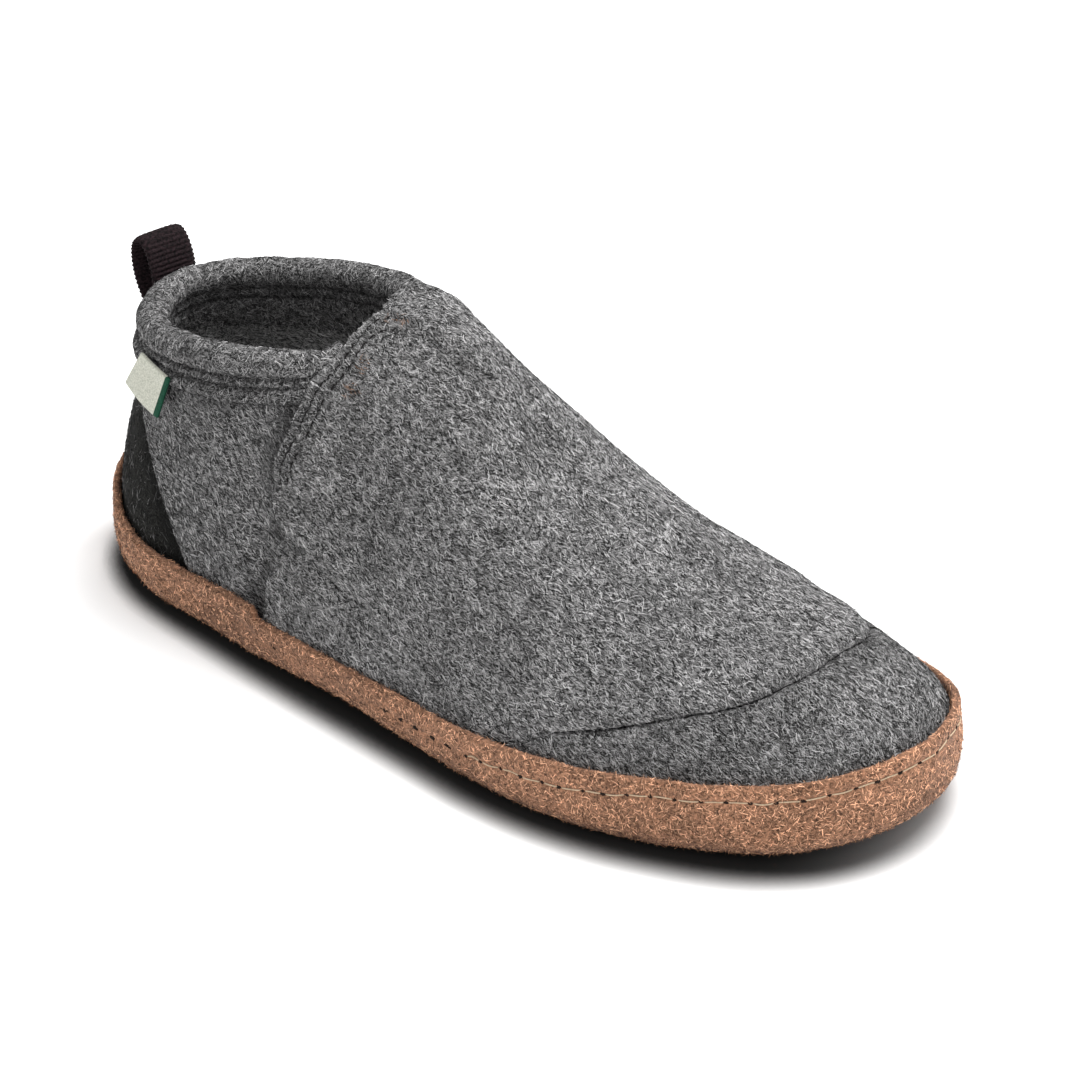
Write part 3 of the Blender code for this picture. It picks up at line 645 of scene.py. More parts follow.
def felt(name, colour, contrast=1.6, patch=0.22, bump=0.5):
    """Heathered felt: short streaks in several directions, soft patches, nap in the bump."""
    mat, tree, shader = nodes_of(name)
    coord = tree.nodes.new("ShaderNodeTexCoord").outputs["Object"]
    wob = tree.nodes.new("ShaderNodeTexNoise")
    wob.inputs["Scale"].default_value = 260.0
    wob.inputs["Detail"].default_value = 1.0
    tree.links.new(coord, wob.inputs["Vector"])
    off = tree.nodes.new("ShaderNodeVectorMath")
    off.operation = "MULTIPLY_ADD"
    tree.links.new(wob.outputs["Color"], off.inputs[0])
    off.inputs[1].default_value = (0.0026, 0.0026, 0.0026)
    tree.links.new(coord, off.inputs[2])
    v = off.outputs[0]
    a = streak(tree, v, (0.3, 0.5, 0.9), 640, 3000)
    b = streak(tree, v, (1.1, -0.7, 2.1), 640, 3000)
    c = streak(tree, v, (-0.6, 1.9, -0.4), 640, 3000)
    light = mul(tree, mul(tree, a, b, "MAXIMUM"), c, "MAXIMUM")
    dark = mul(tree, mul(tree, a, b, "MINIMUM"), c, "MINIMUM")
    lum = mul(tree, ramp(tree, light, (0.5, 0.78, 0.0, 1.5)), ramp(tree, dark, (0.22, 0.47, -0.75, 0.0)), "ADD")
    lum = mul(tree, mul(tree, lum, contrast), 0.62, "ADD")
    soft = ramp(tree, noise_tex(tree, coord, 95, 3.0, 0.6), (0.3, 0.7, 1 - patch, 1 + patch))
    lum = mul(tree, mul(tree, lum, soft), 0.05, "MAXIMUM")
    tone = tree.nodes.new("ShaderNodeAttribute")
    tone.attribute_name = "tone"
    lum = mul(tree, lum, tone.outputs["Fac"])
    tint = tree.nodes.new("ShaderNodeVectorMath")
    tint.operation = "SCALE"
    tint.inputs[0].default_value = colour
    tree.links.new(lum, tint.inputs["Scale"])
    tree.links.new(tint.outputs[0], shader.inputs["Base Color"])
    shader.inputs["Roughness"].default_value = 0.95
    shader.inputs["Specular IOR Level"].default_value = 0.15
    shader.inputs["Sheen Weight"].default_value = 0.12
    shader.inputs["Sheen Roughness"].default_value = 0.6
    bn = tree.nodes.new("ShaderNodeBump")
    bn.inputs["Strength"].default_value = bump
    bn.inputs["Distance"].default_value = 0.0006
    tree.links.new(light, bn.inputs["Height"])
    tree.links.new(bn.outputs["Normal"], shader.inputs["Normal"])
    return mat


def hair(name, colour):
    """Single fibres: the shade comes with each one."""
    mat, tree, shader = nodes_of(name)
    tone = tree.nodes.new("ShaderNodeAttribute")
    tone.attribute_name = "tone"
    tint = tree.nodes.new("ShaderNodeVectorMath")
    tint.operation = "SCALE"
    tint.inputs[0].default_value = colour
    tree.links.new(tone.outputs["Fac"], tint.inputs["Scale"])
    tree.links.new(tint.outputs[0], shader.inputs["Base Color"])
    shader.inputs["Roughness"].default_value = 0.8
    shader.inputs["Specular IOR Level"].default_value = 0.25
    return mat


def suede(name, colour, edge):
    """Napped suede: fine mottled nap; the cut edge is darker and smoother (the tone attribute mixes toward it)."""
    mat, tree, shader = nodes_of(name)
    coord = tree.nodes.new("ShaderNodeTexCoord").outputs["Object"]
    fine = noise_tex(tree, coord, 1500, 4.0, 0.75, 0.6)
    mid = noise_tex(tree, coord, 330, 3.0, 0.6, 0.4)
    big = noise_tex(tree, coord, 45, 2.0, 0.5)
    lum = mul(tree, ramp(tree, fine, (0.38, 0.62, 0.25, 1.75)), ramp(tree, mid, (0.3, 0.7, 0.84, 1.16)))
    lum = mul(tree, lum, ramp(tree, big, (0.3, 0.7, 0.82, 1.18)))
    tint = tree.nodes.new("ShaderNodeVectorMath")
    tint.operation = "SCALE"
    tint.inputs[0].default_value = colour
    tree.links.new(lum, tint.inputs["Scale"])
    tone = tree.nodes.new("ShaderNodeAttribute")
    tone.attribute_name = "tone"
    mix = tree.nodes.new("ShaderNodeMix")
    mix.data_type = "RGBA"
    tree.links.new(tone.outputs["Fac"], mix.inputs[0])
    tree.links.new(tint.outputs[0], mix.inputs[6])
    mix.inputs[7].default_value = (*edge, 1)
    tree.links.new(mix.outputs[2], shader.inputs["Base Color"])
    shader.inputs["Roughness"].default_value = 0.92
    shader.inputs["Specular IOR Level"].default_value = 0.2
    shader.inputs["Sheen Weight"].default_value = 0.1
    bn = tree.nodes.new("ShaderNodeBump")
    bn.inputs["Strength"].default_value = 0.75
    bn.inputs["Distance"].default_value = 0.0005
    tree.links.new(fine, bn.inputs["Height"])
    tree.links.new(bn.outputs["Normal"], shader.inputs["Normal"])
    return mat


def woven(name, colour, second, scale, rough=0.75, bump=0.4):
    """Close woven thread: one fine noise mixes two colours and drives the bump."""
    mat, tree, shader = nodes_of(name)
    coord = tree.nodes.new("ShaderNodeTexCoord").outputs["Object"]
    fine = noise_tex(tree, coord, scale, 2.0, 0.6, 0.3)
    mix = tree.nodes.new("ShaderNodeMix")
    mix.data_type = "RGBA"
    tree.links.new(ramp(tree, fine, (0.35, 0.65, 0.0, 1.0)), mix.inputs[0])
    mix.inputs[6].default_value = (*colour, 1)
    mix.inputs[7].default_value = (*second, 1)
    tree.links.new(mix.outputs[2], shader.inputs["Base Color"])
    shader.inputs["Roughness"].default_value = rough
    shader.inputs["Specular IOR Level"].default_value = 0.12
    bn = tree.nodes.new("ShaderNodeBump")
    bn.inputs["Strength"].default_value = bump
    bn.inputs["Distance"].default_value = 0.0003
    tree.links.new(fine, bn.inputs["Height"])
    tree.links.new(bn.outputs["Normal"], shader.inputs["Normal"])
    return mat


GREY = 0.109
M_VAMP = felt("felt_vamp", (GREY, GREY * 0.985, GREY * 0.985))
# painted shade: the quarter's and collar's felt is the vamp's grey scaled darker for the light they get
M_QUARTER = felt("felt_quarter", (GREY * 0.93, GREY * 0.915, GREY * 0.92))
M_COLLAR = felt("felt_collar", (GREY * 0.97, GREY * 0.955, GREY * 0.955))
# painted light: the inside felt, also used for the insole, is the same grey made 1.4 times brighter to stand in for
# light that does not reach inside
M_INSIDE = felt("felt_inside", (GREY * 1.4, GREY * 1.385, GREY * 1.37), contrast=1.5)
M_DARK = felt("felt_dark", (0.012, 0.012, 0.0108), contrast=2.0)
M_DARK.node_tree.nodes["Principled BSDF"].inputs["Sheen Weight"].default_value = 0.02
M_DARK.node_tree.nodes["Principled BSDF"].inputs["Specular IOR Level"].default_value = 0.05
M_HAIR = hair("fibre_grey", (GREY, GREY * 0.985, GREY * 0.985))
M_HAIR_DARK = hair("fibre_dark", (0.034, 0.034, 0.031))
M_SUEDE = suede("suede_brown", (0.250, 0.124, 0.071), (0.24, 0.115, 0.066))
M_SUEDE_HAIR = hair("fibre_suede", (0.31, 0.172, 0.105))
M_WEB = woven("webbing_dark", (0.0012, 0.0008, 0.0010), (0.021, 0.012, 0.014), 1500, rough=0.85, bump=0.7)
M_LABEL = woven("label_cream", (0.36, 0.37, 0.31), (0.62, 0.62, 0.54), 2300, bump=0.6)
M_LABEL_BACK = woven("label_green", (0.004, 0.035, 0.018), (0.012, 0.07, 0.04), 2300)
M_THREAD = woven("thread_tan", (0.40, 0.30, 0.20), (0.58, 0.45, 0.32), 3000)
M_STITCH = woven("thread_grey", (0.006, 0.0055, 0.0055), (0.020, 0.018, 0.018), 3000)
# painted shade: near-black discs stand for the shade inside the stitch holes
M_HOLE = woven("stitch_hole", (0.006, 0.004, 0.003), (0.016, 0.009, 0.006), 2000)

# ---------- felt pieces

WING_S = np.linspace(-0.15, 1, 60)
THROAT_U = np.concatenate([np.linspace(5.0, THROAT_K, 16), 20 - np.linspace(THROAT_K, 5.0, 16)])


def sheet_of(k, s, off):
    return form(k, s, off)


def vamp_edge():
    """Edge of the vamp from the lateral foot of its wing, up and round the throat, and down the medial side."""
    a = form(wing_at(WING_S), WING_S, np.full(60, TOP))
    t = form(THROAT_U, np.ones(len(THROAT_U)), np.full(len(THROAT_U), TOP))
    b = form(20 - wing_at(WING_S), WING_S, np.full(60, TOP))[::-1]
    return np.concatenate([a, t[1:-1], b])


SEAM_LOOK = ((5.7, -0.16), (6.0, -0.03), (6.25, 0.045), (6.55, 0.088), (7.0, 0.138), (7.47, 0.203), (7.95, 0.277), (8.51, 0.371), (8.85, 0.445), (9.17, 0.522), (9.6, 0.635), (10.0, 0.690))
_seam = spline([q[0] for q in SEAM_LOOK] + [20 - q[0] for q in SEAM_LOOK[-2::-1]], [(q[1],) for q in SEAM_LOOK] + [(q[1],) for q in SEAM_LOOK[-2::-1]])


def seam_look(k):
    f = folded(k)[0]
    return _seam(np.asarray(f, float))[..., 0]


def toe_seam_line(off):
    f = np.linspace(5.72, 10, 60)
    s = seam_look(f)
    k = np.concatenate([f, 20 - f[-2::-1]])
    return form(k, np.concatenate([s, s[-2::-1]]), np.full(len(k), off))


EDGE = vamp_edge()
SEAM = toe_seam_line(TOP)
CREASES = (
    # (station, share) along each trough on the vamp's surface, depth, width
    (((3.84, 0.44), (3.91, 0.39), (3.97, 0.365), (4.06, 0.352), (4.21, 0.322), (4.46, 0.28), (4.80, 0.225)), 2.7, 2.0),
    (((3.80, 0.235), (3.92, 0.25), (4.08, 0.235)), 0.7, 2.0),
    (((4.02, 0.56), (4.2, 0.52), (4.45, 0.50)), 0.45, 2.6),
)


def lumps(p, a=1.0):
    """Uneven felt."""
    return a * (0.42 * noise(p, 21.0) + 0.26 * noise(p + 31, 8.5) + 0.13 * noise(p + 71, 3.6) + 0.07 * noise(p + 11, 1.7))


def vamp_offsets(flat, n, s, top, band=True):
    p = flat + n * top
    d, run = near(p, EDGE)
    off = top - rounding(d, 1.5)
    up = smooth((s - 0.42) / 0.25)
    if band:
        ripple = 0.5 + 0.5 * np.cos(run / 3.1 * 2 * np.pi)
        for at, deep in ((2.9, 1.05), (5.8, 0.9)):
            off = off - up * deep * (0.6 + 0.4 * ripple) * hump(d - at, 0.75)
        off = off + up * 0.35 * hump(d - 4.35, 0.9) + up * 0.2 * hump(d - 1.4, 0.7)
    for line, deep, wide in CREASES:
        ks, ss = np.array([q[0] for q in line]), np.array([q[1] for q in line])
        c, t = near(p, form(ks, ss, np.full(len(ks), top)))
        off = off - deep * hump(c, wide) * (1 - 0.7 * smooth(t / 24.0)) + 0.35 * deep * hump(c - 2.2 * wide, wide)
    return off + lumps(p), d, run


def vamp_tone(p, d, s):
    """Painted shade in the two stitched grooves and along the creases, and a painted highlight on the rounded edge,
    over a random tone whose base of 1.06 is raised for the light on the vamp.
    """
    up = smooth((s - 0.42) / 0.25)
    tone = weave_tone(p, 1.06)
    # painted shade in the stitched grooves
    for at in (2.9, 5.8):
        tone = tone * (1 - 0.42 * up * hump(d - at, 0.7))
    for line, deep, wide in CREASES:
        ks, ss = np.array([q[0] for q in line]), np.array([q[1] for q in line])
        c, t = near(p, form(ks, ss, np.full(len(ks), TOP)))
        tone = tone * (1 - min(1.0, 0.45 * deep) * (0.30 * hump(c, wide) + 0.36 * hump(c, 0.9)) * (1 - 0.75 * smooth(t / 26.0)))
    # painted highlight along the rounded edge
    return tone * (1 + 0.22 * hump(d - 0.6, 0.8))


def weave_tone(p, base):
    return base * (1 + 0.16 * noise(p + 5, 17.0) + 0.15 * noise(p + 9, 6.0) + 0.10 * noise(p + 19, 2.4))


def make_vamp():
    cloth = Cloth()
    rows = 104
    w = np.linspace(0, 1, rows)[:, None]
    side = -0.13 + 1.13 * w
    edge = wing_at(side)
    t = (np.arange(56) / 56.0)[None] ** 1.3
    k_side = edge + (THROAT_K - edge) * t
    s_side = side + 0 * t
    f = np.concatenate([np.linspace(THROAT_K, 5.78, 4), np.linspace(5.8, 10, 94)])[None]
    lowest = np.maximum(-0.13, seam_look(np.maximum(f, 5.7)) + 0.004 * smooth((f - 6.1) / 1.0))
    lowest = np.where(f < 5.79, -0.13, lowest)
    s_front = lowest + (1 - lowest) * w
    k = np.concatenate([k_side, f + 0 * w], 1)
    s = np.concatenate([s_side, s_front], 1)
    k = np.concatenate([k, 20 - k[:, -2::-1]], 1)
    s = np.concatenate([s, s[:, -2::-1]], 1)
    flat, n = base_of(k, s)
    off, d, run = vamp_offsets(flat, n, s, TOP)
    c, _ = near(flat + n * TOP, SEAM)
    front = smooth((folded(k)[0] - 5.9) / 0.5)
    deep = front * smooth((folded(k)[0] - 6.1) / 1.0)
    off = off - deep * (rounding(c, 2.4) * 0.62 + 0.30 * hump(c, 1.6)) + deep * 0.3 * hump(c - 4.2, 2.0)
    p = flat + n * off[..., None]
    band = smooth((folded(k)[0] - 5.05) / 0.25) * (1 - smooth((folded(k)[0] - 6.2) / 0.4)) * (1 - smooth((s - 0.93) / 0.06))
    for _ in range(60):
        between = (np.roll(p, 1, 1) + np.roll(p, -1, 1)) / 2
        between[:, 0], between[:, -1] = p[:, 0], p[:, -1]
        p = p + (between - p) * (0.5 * band)[..., None]
    # ridge: both sides meet
    ff = folded(k[-1])[0]
    half = k.shape[1] // 2
    for j in range(half):
        if ff[j] >= THROAT_K - 1e-9:
            m = k.shape[1] - 1 - j
            p[-1, j] = p[-1, m] = (p[-1, j] + p[-1, m]) / 2
    # the felt turns down to the quarter at the wing's edge; its half tone is painted shade
    for col, cut in ((0, 0), (k.shape[1] - 1, 1)):
        foot = flat[:, col] + n[:, col] * 0.15
        mid = flat[:, col] + n[:, col] * 1.1
        strip = np.stack([foot, mid, p[:, col]], 1) if cut == 0 else np.stack([p[:, col], mid, foot], 1)
        cloth.grid(strip, tone=0.5)
    cloth.grid(p, tone=vamp_tone(p, d, s))
    # rolled edge round the throat, over both layers
    ku = np.concatenate([np.linspace(4.9, THROAT_K, 36), 20 - np.linspace(THROAT_K, 4.9, 36)[1:]])
    one = np.ones(len(ku))
    flat_t, n_t = base_of(ku, one)
    rail = near(flat_t + n_t * TOP, EDGE)[0] * 0
    ringed_rows = []
    for rise, o in ((0.0, TOP - 1.5), (0.5, TOP - 2.2), (0.62, TOP - 3.2), (0.5, TOP - 4.4), (0.1, -1.9), (-1.0, -2.9), (-3.5, -3.6), (-9.0, -3.7)):
        share = 1 + np.minimum(rise, 0) / rib_length(ku)[..., -1]
        fl, nn = base_of(ku, share)
        up = np.array([0, 0, 1.0]) - nn * nn[:, 2:]
        up /= np.linalg.norm(up, axis=1, keepdims=True) + 1e-9
        out = np.stack([-0.75 + 0 * ku, 0 * ku, 0.65 + 0 * ku], 1)
        rise_here = max(rise, 0) * smooth((folded(ku)[0] - 5.0) / 0.4)
        ringed_rows.append(fl + nn * (o + 0.12 * noise(fl + 3, 5.0))[:, None] + out * rise_here[:, None])
    lip = np.array(ringed_rows)
    # first row is the vamp's own top row there; the tone falls towards the inside as painted shade
    cloth.grid(lip, tone=0.85 - 0.45 * np.linspace(0, 1, len(lip))[:, None] ** 0.7 + 0 * ku[None])
    return cloth.make("vamp_felt", M_VAMP, node="vamp", slot="felt_vamp"), (k, s, p, d, run)


def make_toe():
    cloth = Cloth()
    f = np.linspace(5.86, 10, 104)[None]
    w = np.linspace(0, 1, 40)[:, None]
    high_s = seam_look(f) - 0.004 * smooth((f - 6.1) / 1.0)
    s = -0.13 + (high_s + 0.13) * w
    k = f + 0 * w
    k = np.concatenate([k, 20 - k[:, -2::-1]], 1)
    s = np.concatenate([s, s[:, -2::-1]], 1)
    flat, n = base_of(k, s)
    p = flat + n * TOP
    c, _ = near(p, SEAM)
    deep = smooth((folded(k)[0] - 6.1) / 1.0)
    off = TOP - 0.45 * deep - deep * rounding(c, 2.2) * 0.75 + lumps(p) + 0.2 * hump(c - 4.0, 2.0)
    p = flat + n * off[..., None]
    # painted shade: the toe's base tone sits below the vamp's for the light it gets, and is darkened along the seam
    # groove and on the turned-down lower edge
    cloth.grid(p, tone=weave_tone(p, 0.88) * (1 - 0.35 * deep * hump(c, 0.9)))
    foot = flat[-1] + n[-1] * 0.6
    cloth.grid(np.stack([p[-1], foot]), tone=0.7)
    return cloth.make("toe_felt", M_VAMP, node="toe_cap", slot="felt_vamp")


def make_quarters():
    cloth = Cloth()
    w = np.linspace(0, 1, 84)[:, None]
    s = -0.13 + 1.12 * w
    v_s = np.linspace(-0.2, BACK_V_TOP, 40)
    t = (np.arange(60) / 59.0)[None]
    for sign in (1, -1):
        edge = back_v_at(np.minimum(s, BACK_V_TOP))
        edge = np.where(s > BACK_V_TOP, edge * (1 - smooth((s - BACK_V_TOP) / 0.02)), edge)
        k = edge + (5.1 - edge) * t ** 1.25
        ss = s + 0 * t
        kk = k if sign > 0 else -k
        flat, n = base_of(kk, ss)
        line = form(sign * back_v_at(v_s), v_s, 0 * v_s)
        line = np.concatenate([line, form(sign * np.linspace(back_v_at(BACK_V_TOP), 0, 8)[1:], np.full(7, BACK_V_TOP), np.zeros(7))])
        d, _ = near(flat, line)
        off = -rounding(d, 1.4) * (s < 0.9) + 0.8 * lumps(flat) + 0.25 * hump(d - 3.0, 1.8)
        off = off * smooth((5.1 - k) / 0.2 + 0.6)
        p = flat + n * off[..., None]
        foot = flat[:, 0] - n[:, 0] * 2.6
        mid = flat[:, 0] - n[:, 0] * 1.8
        # painted shade: the quarter's base tone sits below the vamp's, darker along the edge at the heel gusset, in the
        # vamp edge's contact shadow and under the collar's flange
        tone = weave_tone(p, 0.92) * (0.8 + 0.2 * smooth(d / 3.0))
        e, _ = near(flat, EDGE)
        under = smooth((s - 0.80) / 0.12) * hump((rib_length(kk)[..., -1] * (1 - s)) - 10.6, 1.6)
        tone = tone * (1 - 0.48 * hump(np.maximum(e - 5.2, 0), 2.0) * (0.35 + 0.65 * smooth((s - 0.1) / 0.3))) * (1 - 0.6 * under)
        # painted shade: the turned-down strip at the gusset edge is dark
        strip = np.stack([foot, mid, p[:, 0]], 1)
        keep = np.broadcast_to((s[:-1] > BACK_V_TOP + 0.01), (len(s) - 1, 2))
        if sign > 0:
            cloth.grid(p, tone=tone)
            cloth.grid(strip, tone=0.35, skip=keep)
        else:
            cloth.grid(p[:, ::-1], tone=tone[:, ::-1])
            cloth.grid(strip[:, ::-1], tone=0.35, skip=keep)
    outer = cloth.make("quarter_felt", M_QUARTER, node="upper", slot="felt_quarter")
    # the inside of the shell
    inner = Cloth()
    kk = np.concatenate([np.linspace(0, 5.6, 57), np.linspace(5.7, 10, 32)])
    kk = np.concatenate([kk, 20 - kk[-2:0:-1]])[None]
    ss = np.concatenate([np.linspace(-0.9, 0, 6)[:-1], np.linspace(0, 0.985, 40)])[:, None]
    ss = np.where(folded(kk)[0] > THROAT_K - 0.01, np.where(ss > 0, ss / 0.985, ss), ss + 0 * kk)
    flat, n = base_of(kk + 0 * ss, ss)
    off = -FELT - 0.25 * smooth((THROAT_K - folded(kk)[0]) / 0.5) + 0.6 * lumps(flat)
    p = flat + n * off[..., None]
    g = folded(kk[0])[0]
    m = p.shape[1]
    for j in range(m // 2 + 1):
        if g[j] >= THROAT_K - 0.01:
            i = (m - j) % m
            p[-1, j] = p[-1, i] = (p[-1, j] + p[-1, i]) / 2
    inner.grid(p, ring=True, flip=True, tone=weave_tone(p, 1.0))
    lining = inner.make("inside_felt", M_INSIDE, slot="felt_quarter")
    return outer, lining


def make_gusset():
    cloth = Cloth()
    s = np.linspace(-0.13, BACK_V_TOP + 0.01, 60)[:, None]
    half = back_v_at(np.minimum(s, BACK_V_TOP)) + 0.03
    k = half * np.linspace(-1, 1, 80)[None]
    flat, n = base_of(k, s + 0 * k)
    off = -GUSSET_IN + 0.8 * lumps(flat) + 0.35 * np.cos(np.clip(k / half, -1, 1) * np.pi / 2)
    p = flat + n * off[..., None]
    e = np.abs(k / half)
    # painted shade: darker towards both edges, where the quarters' edges shade the set-back gusset
    cloth.grid(p, tone=weave_tone(p, 1.0) * (1 - 0.75 * smooth((e - 0.78) / 0.2)))
    return cloth.make("gusset_felt", M_DARK, node="heel_gusset", slot="felt_dark")


COLLAR_LOOK = (
    # down, out: once round the rolled band
    (9.9, -0.2), (10.9, 0.7), (11.0, 1.9), (9.9, 3.0), (8.2, 2.95), (7.2, 2.15), (6.55, 1.1), (5.95, 1.75), (5.35, 2.0), (4.8, 1.75), (4.2, 0.9), (3.5, 1.75), (2.4, 2.75),
    (0.2, 2.95), (-1.7, 2.1), (-2.95, 0.6), (-3.5, -1.3), (-3.2, -3.2), (-2.1, -4.9), (-0.4, -5.8), (1.4, -5.75), (2.6, -5.2), (3.4, -4.5), (4.2, -5.0), (4.9, -5.15), (5.6, -4.9), (6.3, -4.4), (7.2, -4.8), (9.0, -4.9), (11.5, -4.5), (14.5, -3.8), (17.5, -3.1),
)


def make_collar():
    cloth = Cloth()
    sec = np.array(COLLAR_LOOK)
    run = np.r_[0, np.cumsum(np.linalg.norm(np.diff(sec, axis=0), axis=1))]
    path = spline(run, sec)
    u = np.linspace(0, run[-1], 80)
    sec = path(u)
    spread = np.linspace(-1, 1, 260)
    length = rib_length(np.array(4.8))[-1]
    rings = []
    for down, out in sec:
        end = wing_at(min(1.0, 1 - max(down, 0) / length)) + 0.16
        k = spread * end
        fade = smooth((end - np.abs(k)) / 0.25) * 0.9 + 0.1
        sink = (1 - fade) * 1.0
        rings.append(collar_point(k, np.full(k.shape, float(down)), np.full(k.shape, float(out)) * 1.0 - sink * np.sign(out)))
    p = np.array(rings)
    mid = p.mean(0)
    outward = p - mid[None]
    outward /= np.linalg.norm(outward, axis=-1, keepdims=True) + 1e-9
    puff = 0.34 * noise(p + 13, 9.0) + 0.24 * noise(p + 3, 4.0) + 0.12 * noise(p + 43, 2.0)
    p = p + outward * puff[..., None]
    down, out = sec[:, 0][:, None], sec[:, 1][:, None]
    # painted shade: the collar's base tone sits below the vamp's and its far side is darkened further
    far = 1 - 0.16 * smooth((-spread - 0.1) / 0.4)[None]
    # painted shade inside the roll: darker going down, lightened again lower down
    tone = weave_tone(p, 0.97) * far * np.where(out < -2, 1 - 0.40 * smooth((down + 2.2) / 5.5) + 0.42 * smooth((down - 6.0) / 5.0), 1.0)
    face = (out > 0) * 1.0
    # painted shade: the tone drops in the two stitch grooves and under the flange's lower edge, and in the grooves
    # inside; stitch only varies that shade
    stitch = 0.75 + 0.25 * noise(p + 23, 1.8)
    tone = tone * (1 - face * 0.55 * stitch * hump(down - 4.2, 0.55)) * (1 - face * 0.55 * stitch * hump(down - 6.55, 0.6)) * (1 - face * 0.6 * hump(down - 11.2, 1.1))
    tone = tone * (1 - (1 - face) * 0.5 * stitch * (hump(down - 3.4, 0.6) + hump(down - 6.3, 0.6)) * (out < -3))
    cloth.grid(p, tone=tone)
    return cloth.make("collar_felt", M_COLLAR, node="collar", slot="felt_collar")


# ---------- sole

def rim_look(k):
    o = outline(k)[0]
    x = np.clip(o[..., 0], 0, LENGTH)
    f, side = folded(k)
    step = np.where(f < 3.62, 1.5 * np.exp(-(3.62 - f) / 0.7), -1.5 * np.exp(-(f - 3.62) / 0.7))
    return rim_at(x) + step * np.where(side < 0, 1, 0.6) + 0.45 * noise(np.stack([o[..., 0], o[..., 1], 0 * x], -1), 18.0) + 0.28 * noise(np.stack([o[..., 0], o[..., 1], 0 * x], -1), 6.5)


def row_below(k):
    """How far the stitch row lies below the rim's top edge."""
    x = outline(np.asarray(k, float))[0][..., 0]
    return 6.3 - 2.0 * smooth((x - 195) / 45)


def wall_bump(p):
    return 0.34 * noise(p + 7, 12.0) + 0.28 * noise(p + 17, 5.0) + 0.15 * noise(p + 27, 2.2)


def make_sole():
    cloth = Cloth()
    k = stations_round(0.045)
    x = np.clip(outline(k)[0][:, 0], 0, LENGTH)
    lift, rim = lift_at(x), rim_look(k)
    across, up = BOTTOM_R
    rows, tones = [], []
    for a in np.linspace(0, np.pi / 2, 9):
        rows.append((across * (1 - np.sin(a)), lift + up * (1 - np.cos(a))))
        tones.append(0.0)
    for t in np.linspace(0.08, 0.93, 12):
        z = lift + up + (rim - lift - up) * t
        groove = 0.40 * hump(rim - row_below(k) - z, 0.9)
        rows.append((0.0 + groove - 0.25 * np.sin(t * np.pi), z))
        tones.append(0.0)
    for ins, dz, tn in ((0.15, 0.75, 0.0), (0.40, 0.25, 0.15), (0.8, 0.02, 0.45), (1.3, 0.0, 0.6), (1.75, 0.3, 0.8), (1.95, 1.2, 0.9), (2.0, 5.0, 0.9)):
        rows.append((ins, rim - dz))
        tones.append(tn)
    rows.append((2.0, FLOOR + lift + 0.3))
    tones.append(0.3)
    p = np.array([ring(k, ins, z) for ins, z in rows])
    o, nn = outline(k)
    out = np.concatenate([nn, np.zeros((len(k), 1))], 1)[None]
    body = np.array([1.0 if i < 22 else 0.25 for i in range(len(rows))])[:, None]
    bump = wall_bump(p) * body
    ground = smooth((p[..., 2] - lift[None]) / 3.0)
    p = p + out * (bump * ground)[..., None]
    cloth.grid(p, ring=True, tone=np.array(tones)[:, None] + 0 * p[..., 0])
    half = len(k) // 2
    for row, flip in ((0, True), (len(rows) - 1, False)):
        left = p[row, : half + 1]
        right = np.concatenate([p[row, :1], p[row, :half - 1:-1]])
        t = np.linspace(0, 1, 13)[None, :, None]
        field = left[:, None] * (1 - t) + right[:, None] * t
        cloth.grid(field, flip=not flip, tone=0.0)
    return cloth.make("sole_suede", M_SUEDE, node="outsole", slot="suede")


def make_bed():
    cloth = Cloth()
    k = stations_round(0.1)
    f = folded(k)[0]
    x = np.clip(outline(k)[0][:, 0], 0, LENGTH)
    z = FLOOR + GAP + lift_at(x)
    inset = inset_of(k) + FELT + 0.5 + (GUSSET_IN + GUSSET_T - FELT) * smooth((3.5 - f) / 0.3)
    p = np.array([ring(k, inset, z), ring(k, inset, z + 3.2), ring(k, inset + 0.5, z + 3.9), ring(k, inset + 1.4, z + INSOLE_T)])
    cloth.grid(p, ring=True)
    half = len(k) // 2
    left = p[-1, : half + 1]
    right = np.concatenate([p[-1, :1], p[-1, :half - 1:-1]])
    t = np.linspace(0, 1, 40)[None, :, None]
    field = left[:, None] * (1 - t) + right[:, None] * t
    inside = np.sin(np.linspace(0, 1, 40) * np.pi)[None] ** 0.5
    field[..., 2] += 0.35 * noise(field, 14.0) * inside
    cloth.grid(field)
    return cloth.make("bed_felt", M_INSIDE, node="insole", slot="felt_insole")


# ---------- small pieces

def tube(points, radius, sides=8, taper=None):
    """Rings round a line of points."""
    d = np.gradient(points, axis=0)
    d /= np.linalg.norm(d, axis=1, keepdims=True) + 1e-12
    ref = np.array([0.13, 0.21, 0.97])
    a = np.cross(d, ref)
    a /= np.linalg.norm(a, axis=1, keepdims=True)
    b = np.cross(d, a)
    r = np.broadcast_to(radius, (len(points),)) * (1 if taper is None else taper)
    ang = np.linspace(0, 2 * np.pi, sides + 1)
    return points[None] + (np.cos(ang)[:, None, None] * a[None] + np.sin(ang)[:, None, None] * b[None]) * r[None, :, None]


def wall_point(k, below, out=0.0):
    """Point of the sole's outer wall, below its top edge."""
    o, n = outline(np.asarray(k, float))
    x = np.clip(o[..., 0], 0, LENGTH)
    z = rim_look(k) - below
    lift = lift_at(x)
    t = np.clip((z - lift - BOTTOM_R[1]) / (rim_look(k) - lift - BOTTOM_R[1]), 0, 1)
    groove = 0.40 * hump(below - row_below(k), 0.9)
    flat = np.concatenate([o, z[..., None]], -1)
    away = wall_bump(flat) + 0.25 * np.sin(t * np.pi) - groove
    q = o + n * (out + away)[..., None]
    return np.concatenate([q, z[..., None]], -1), np.concatenate([n, 0 * z[..., None]], -1)


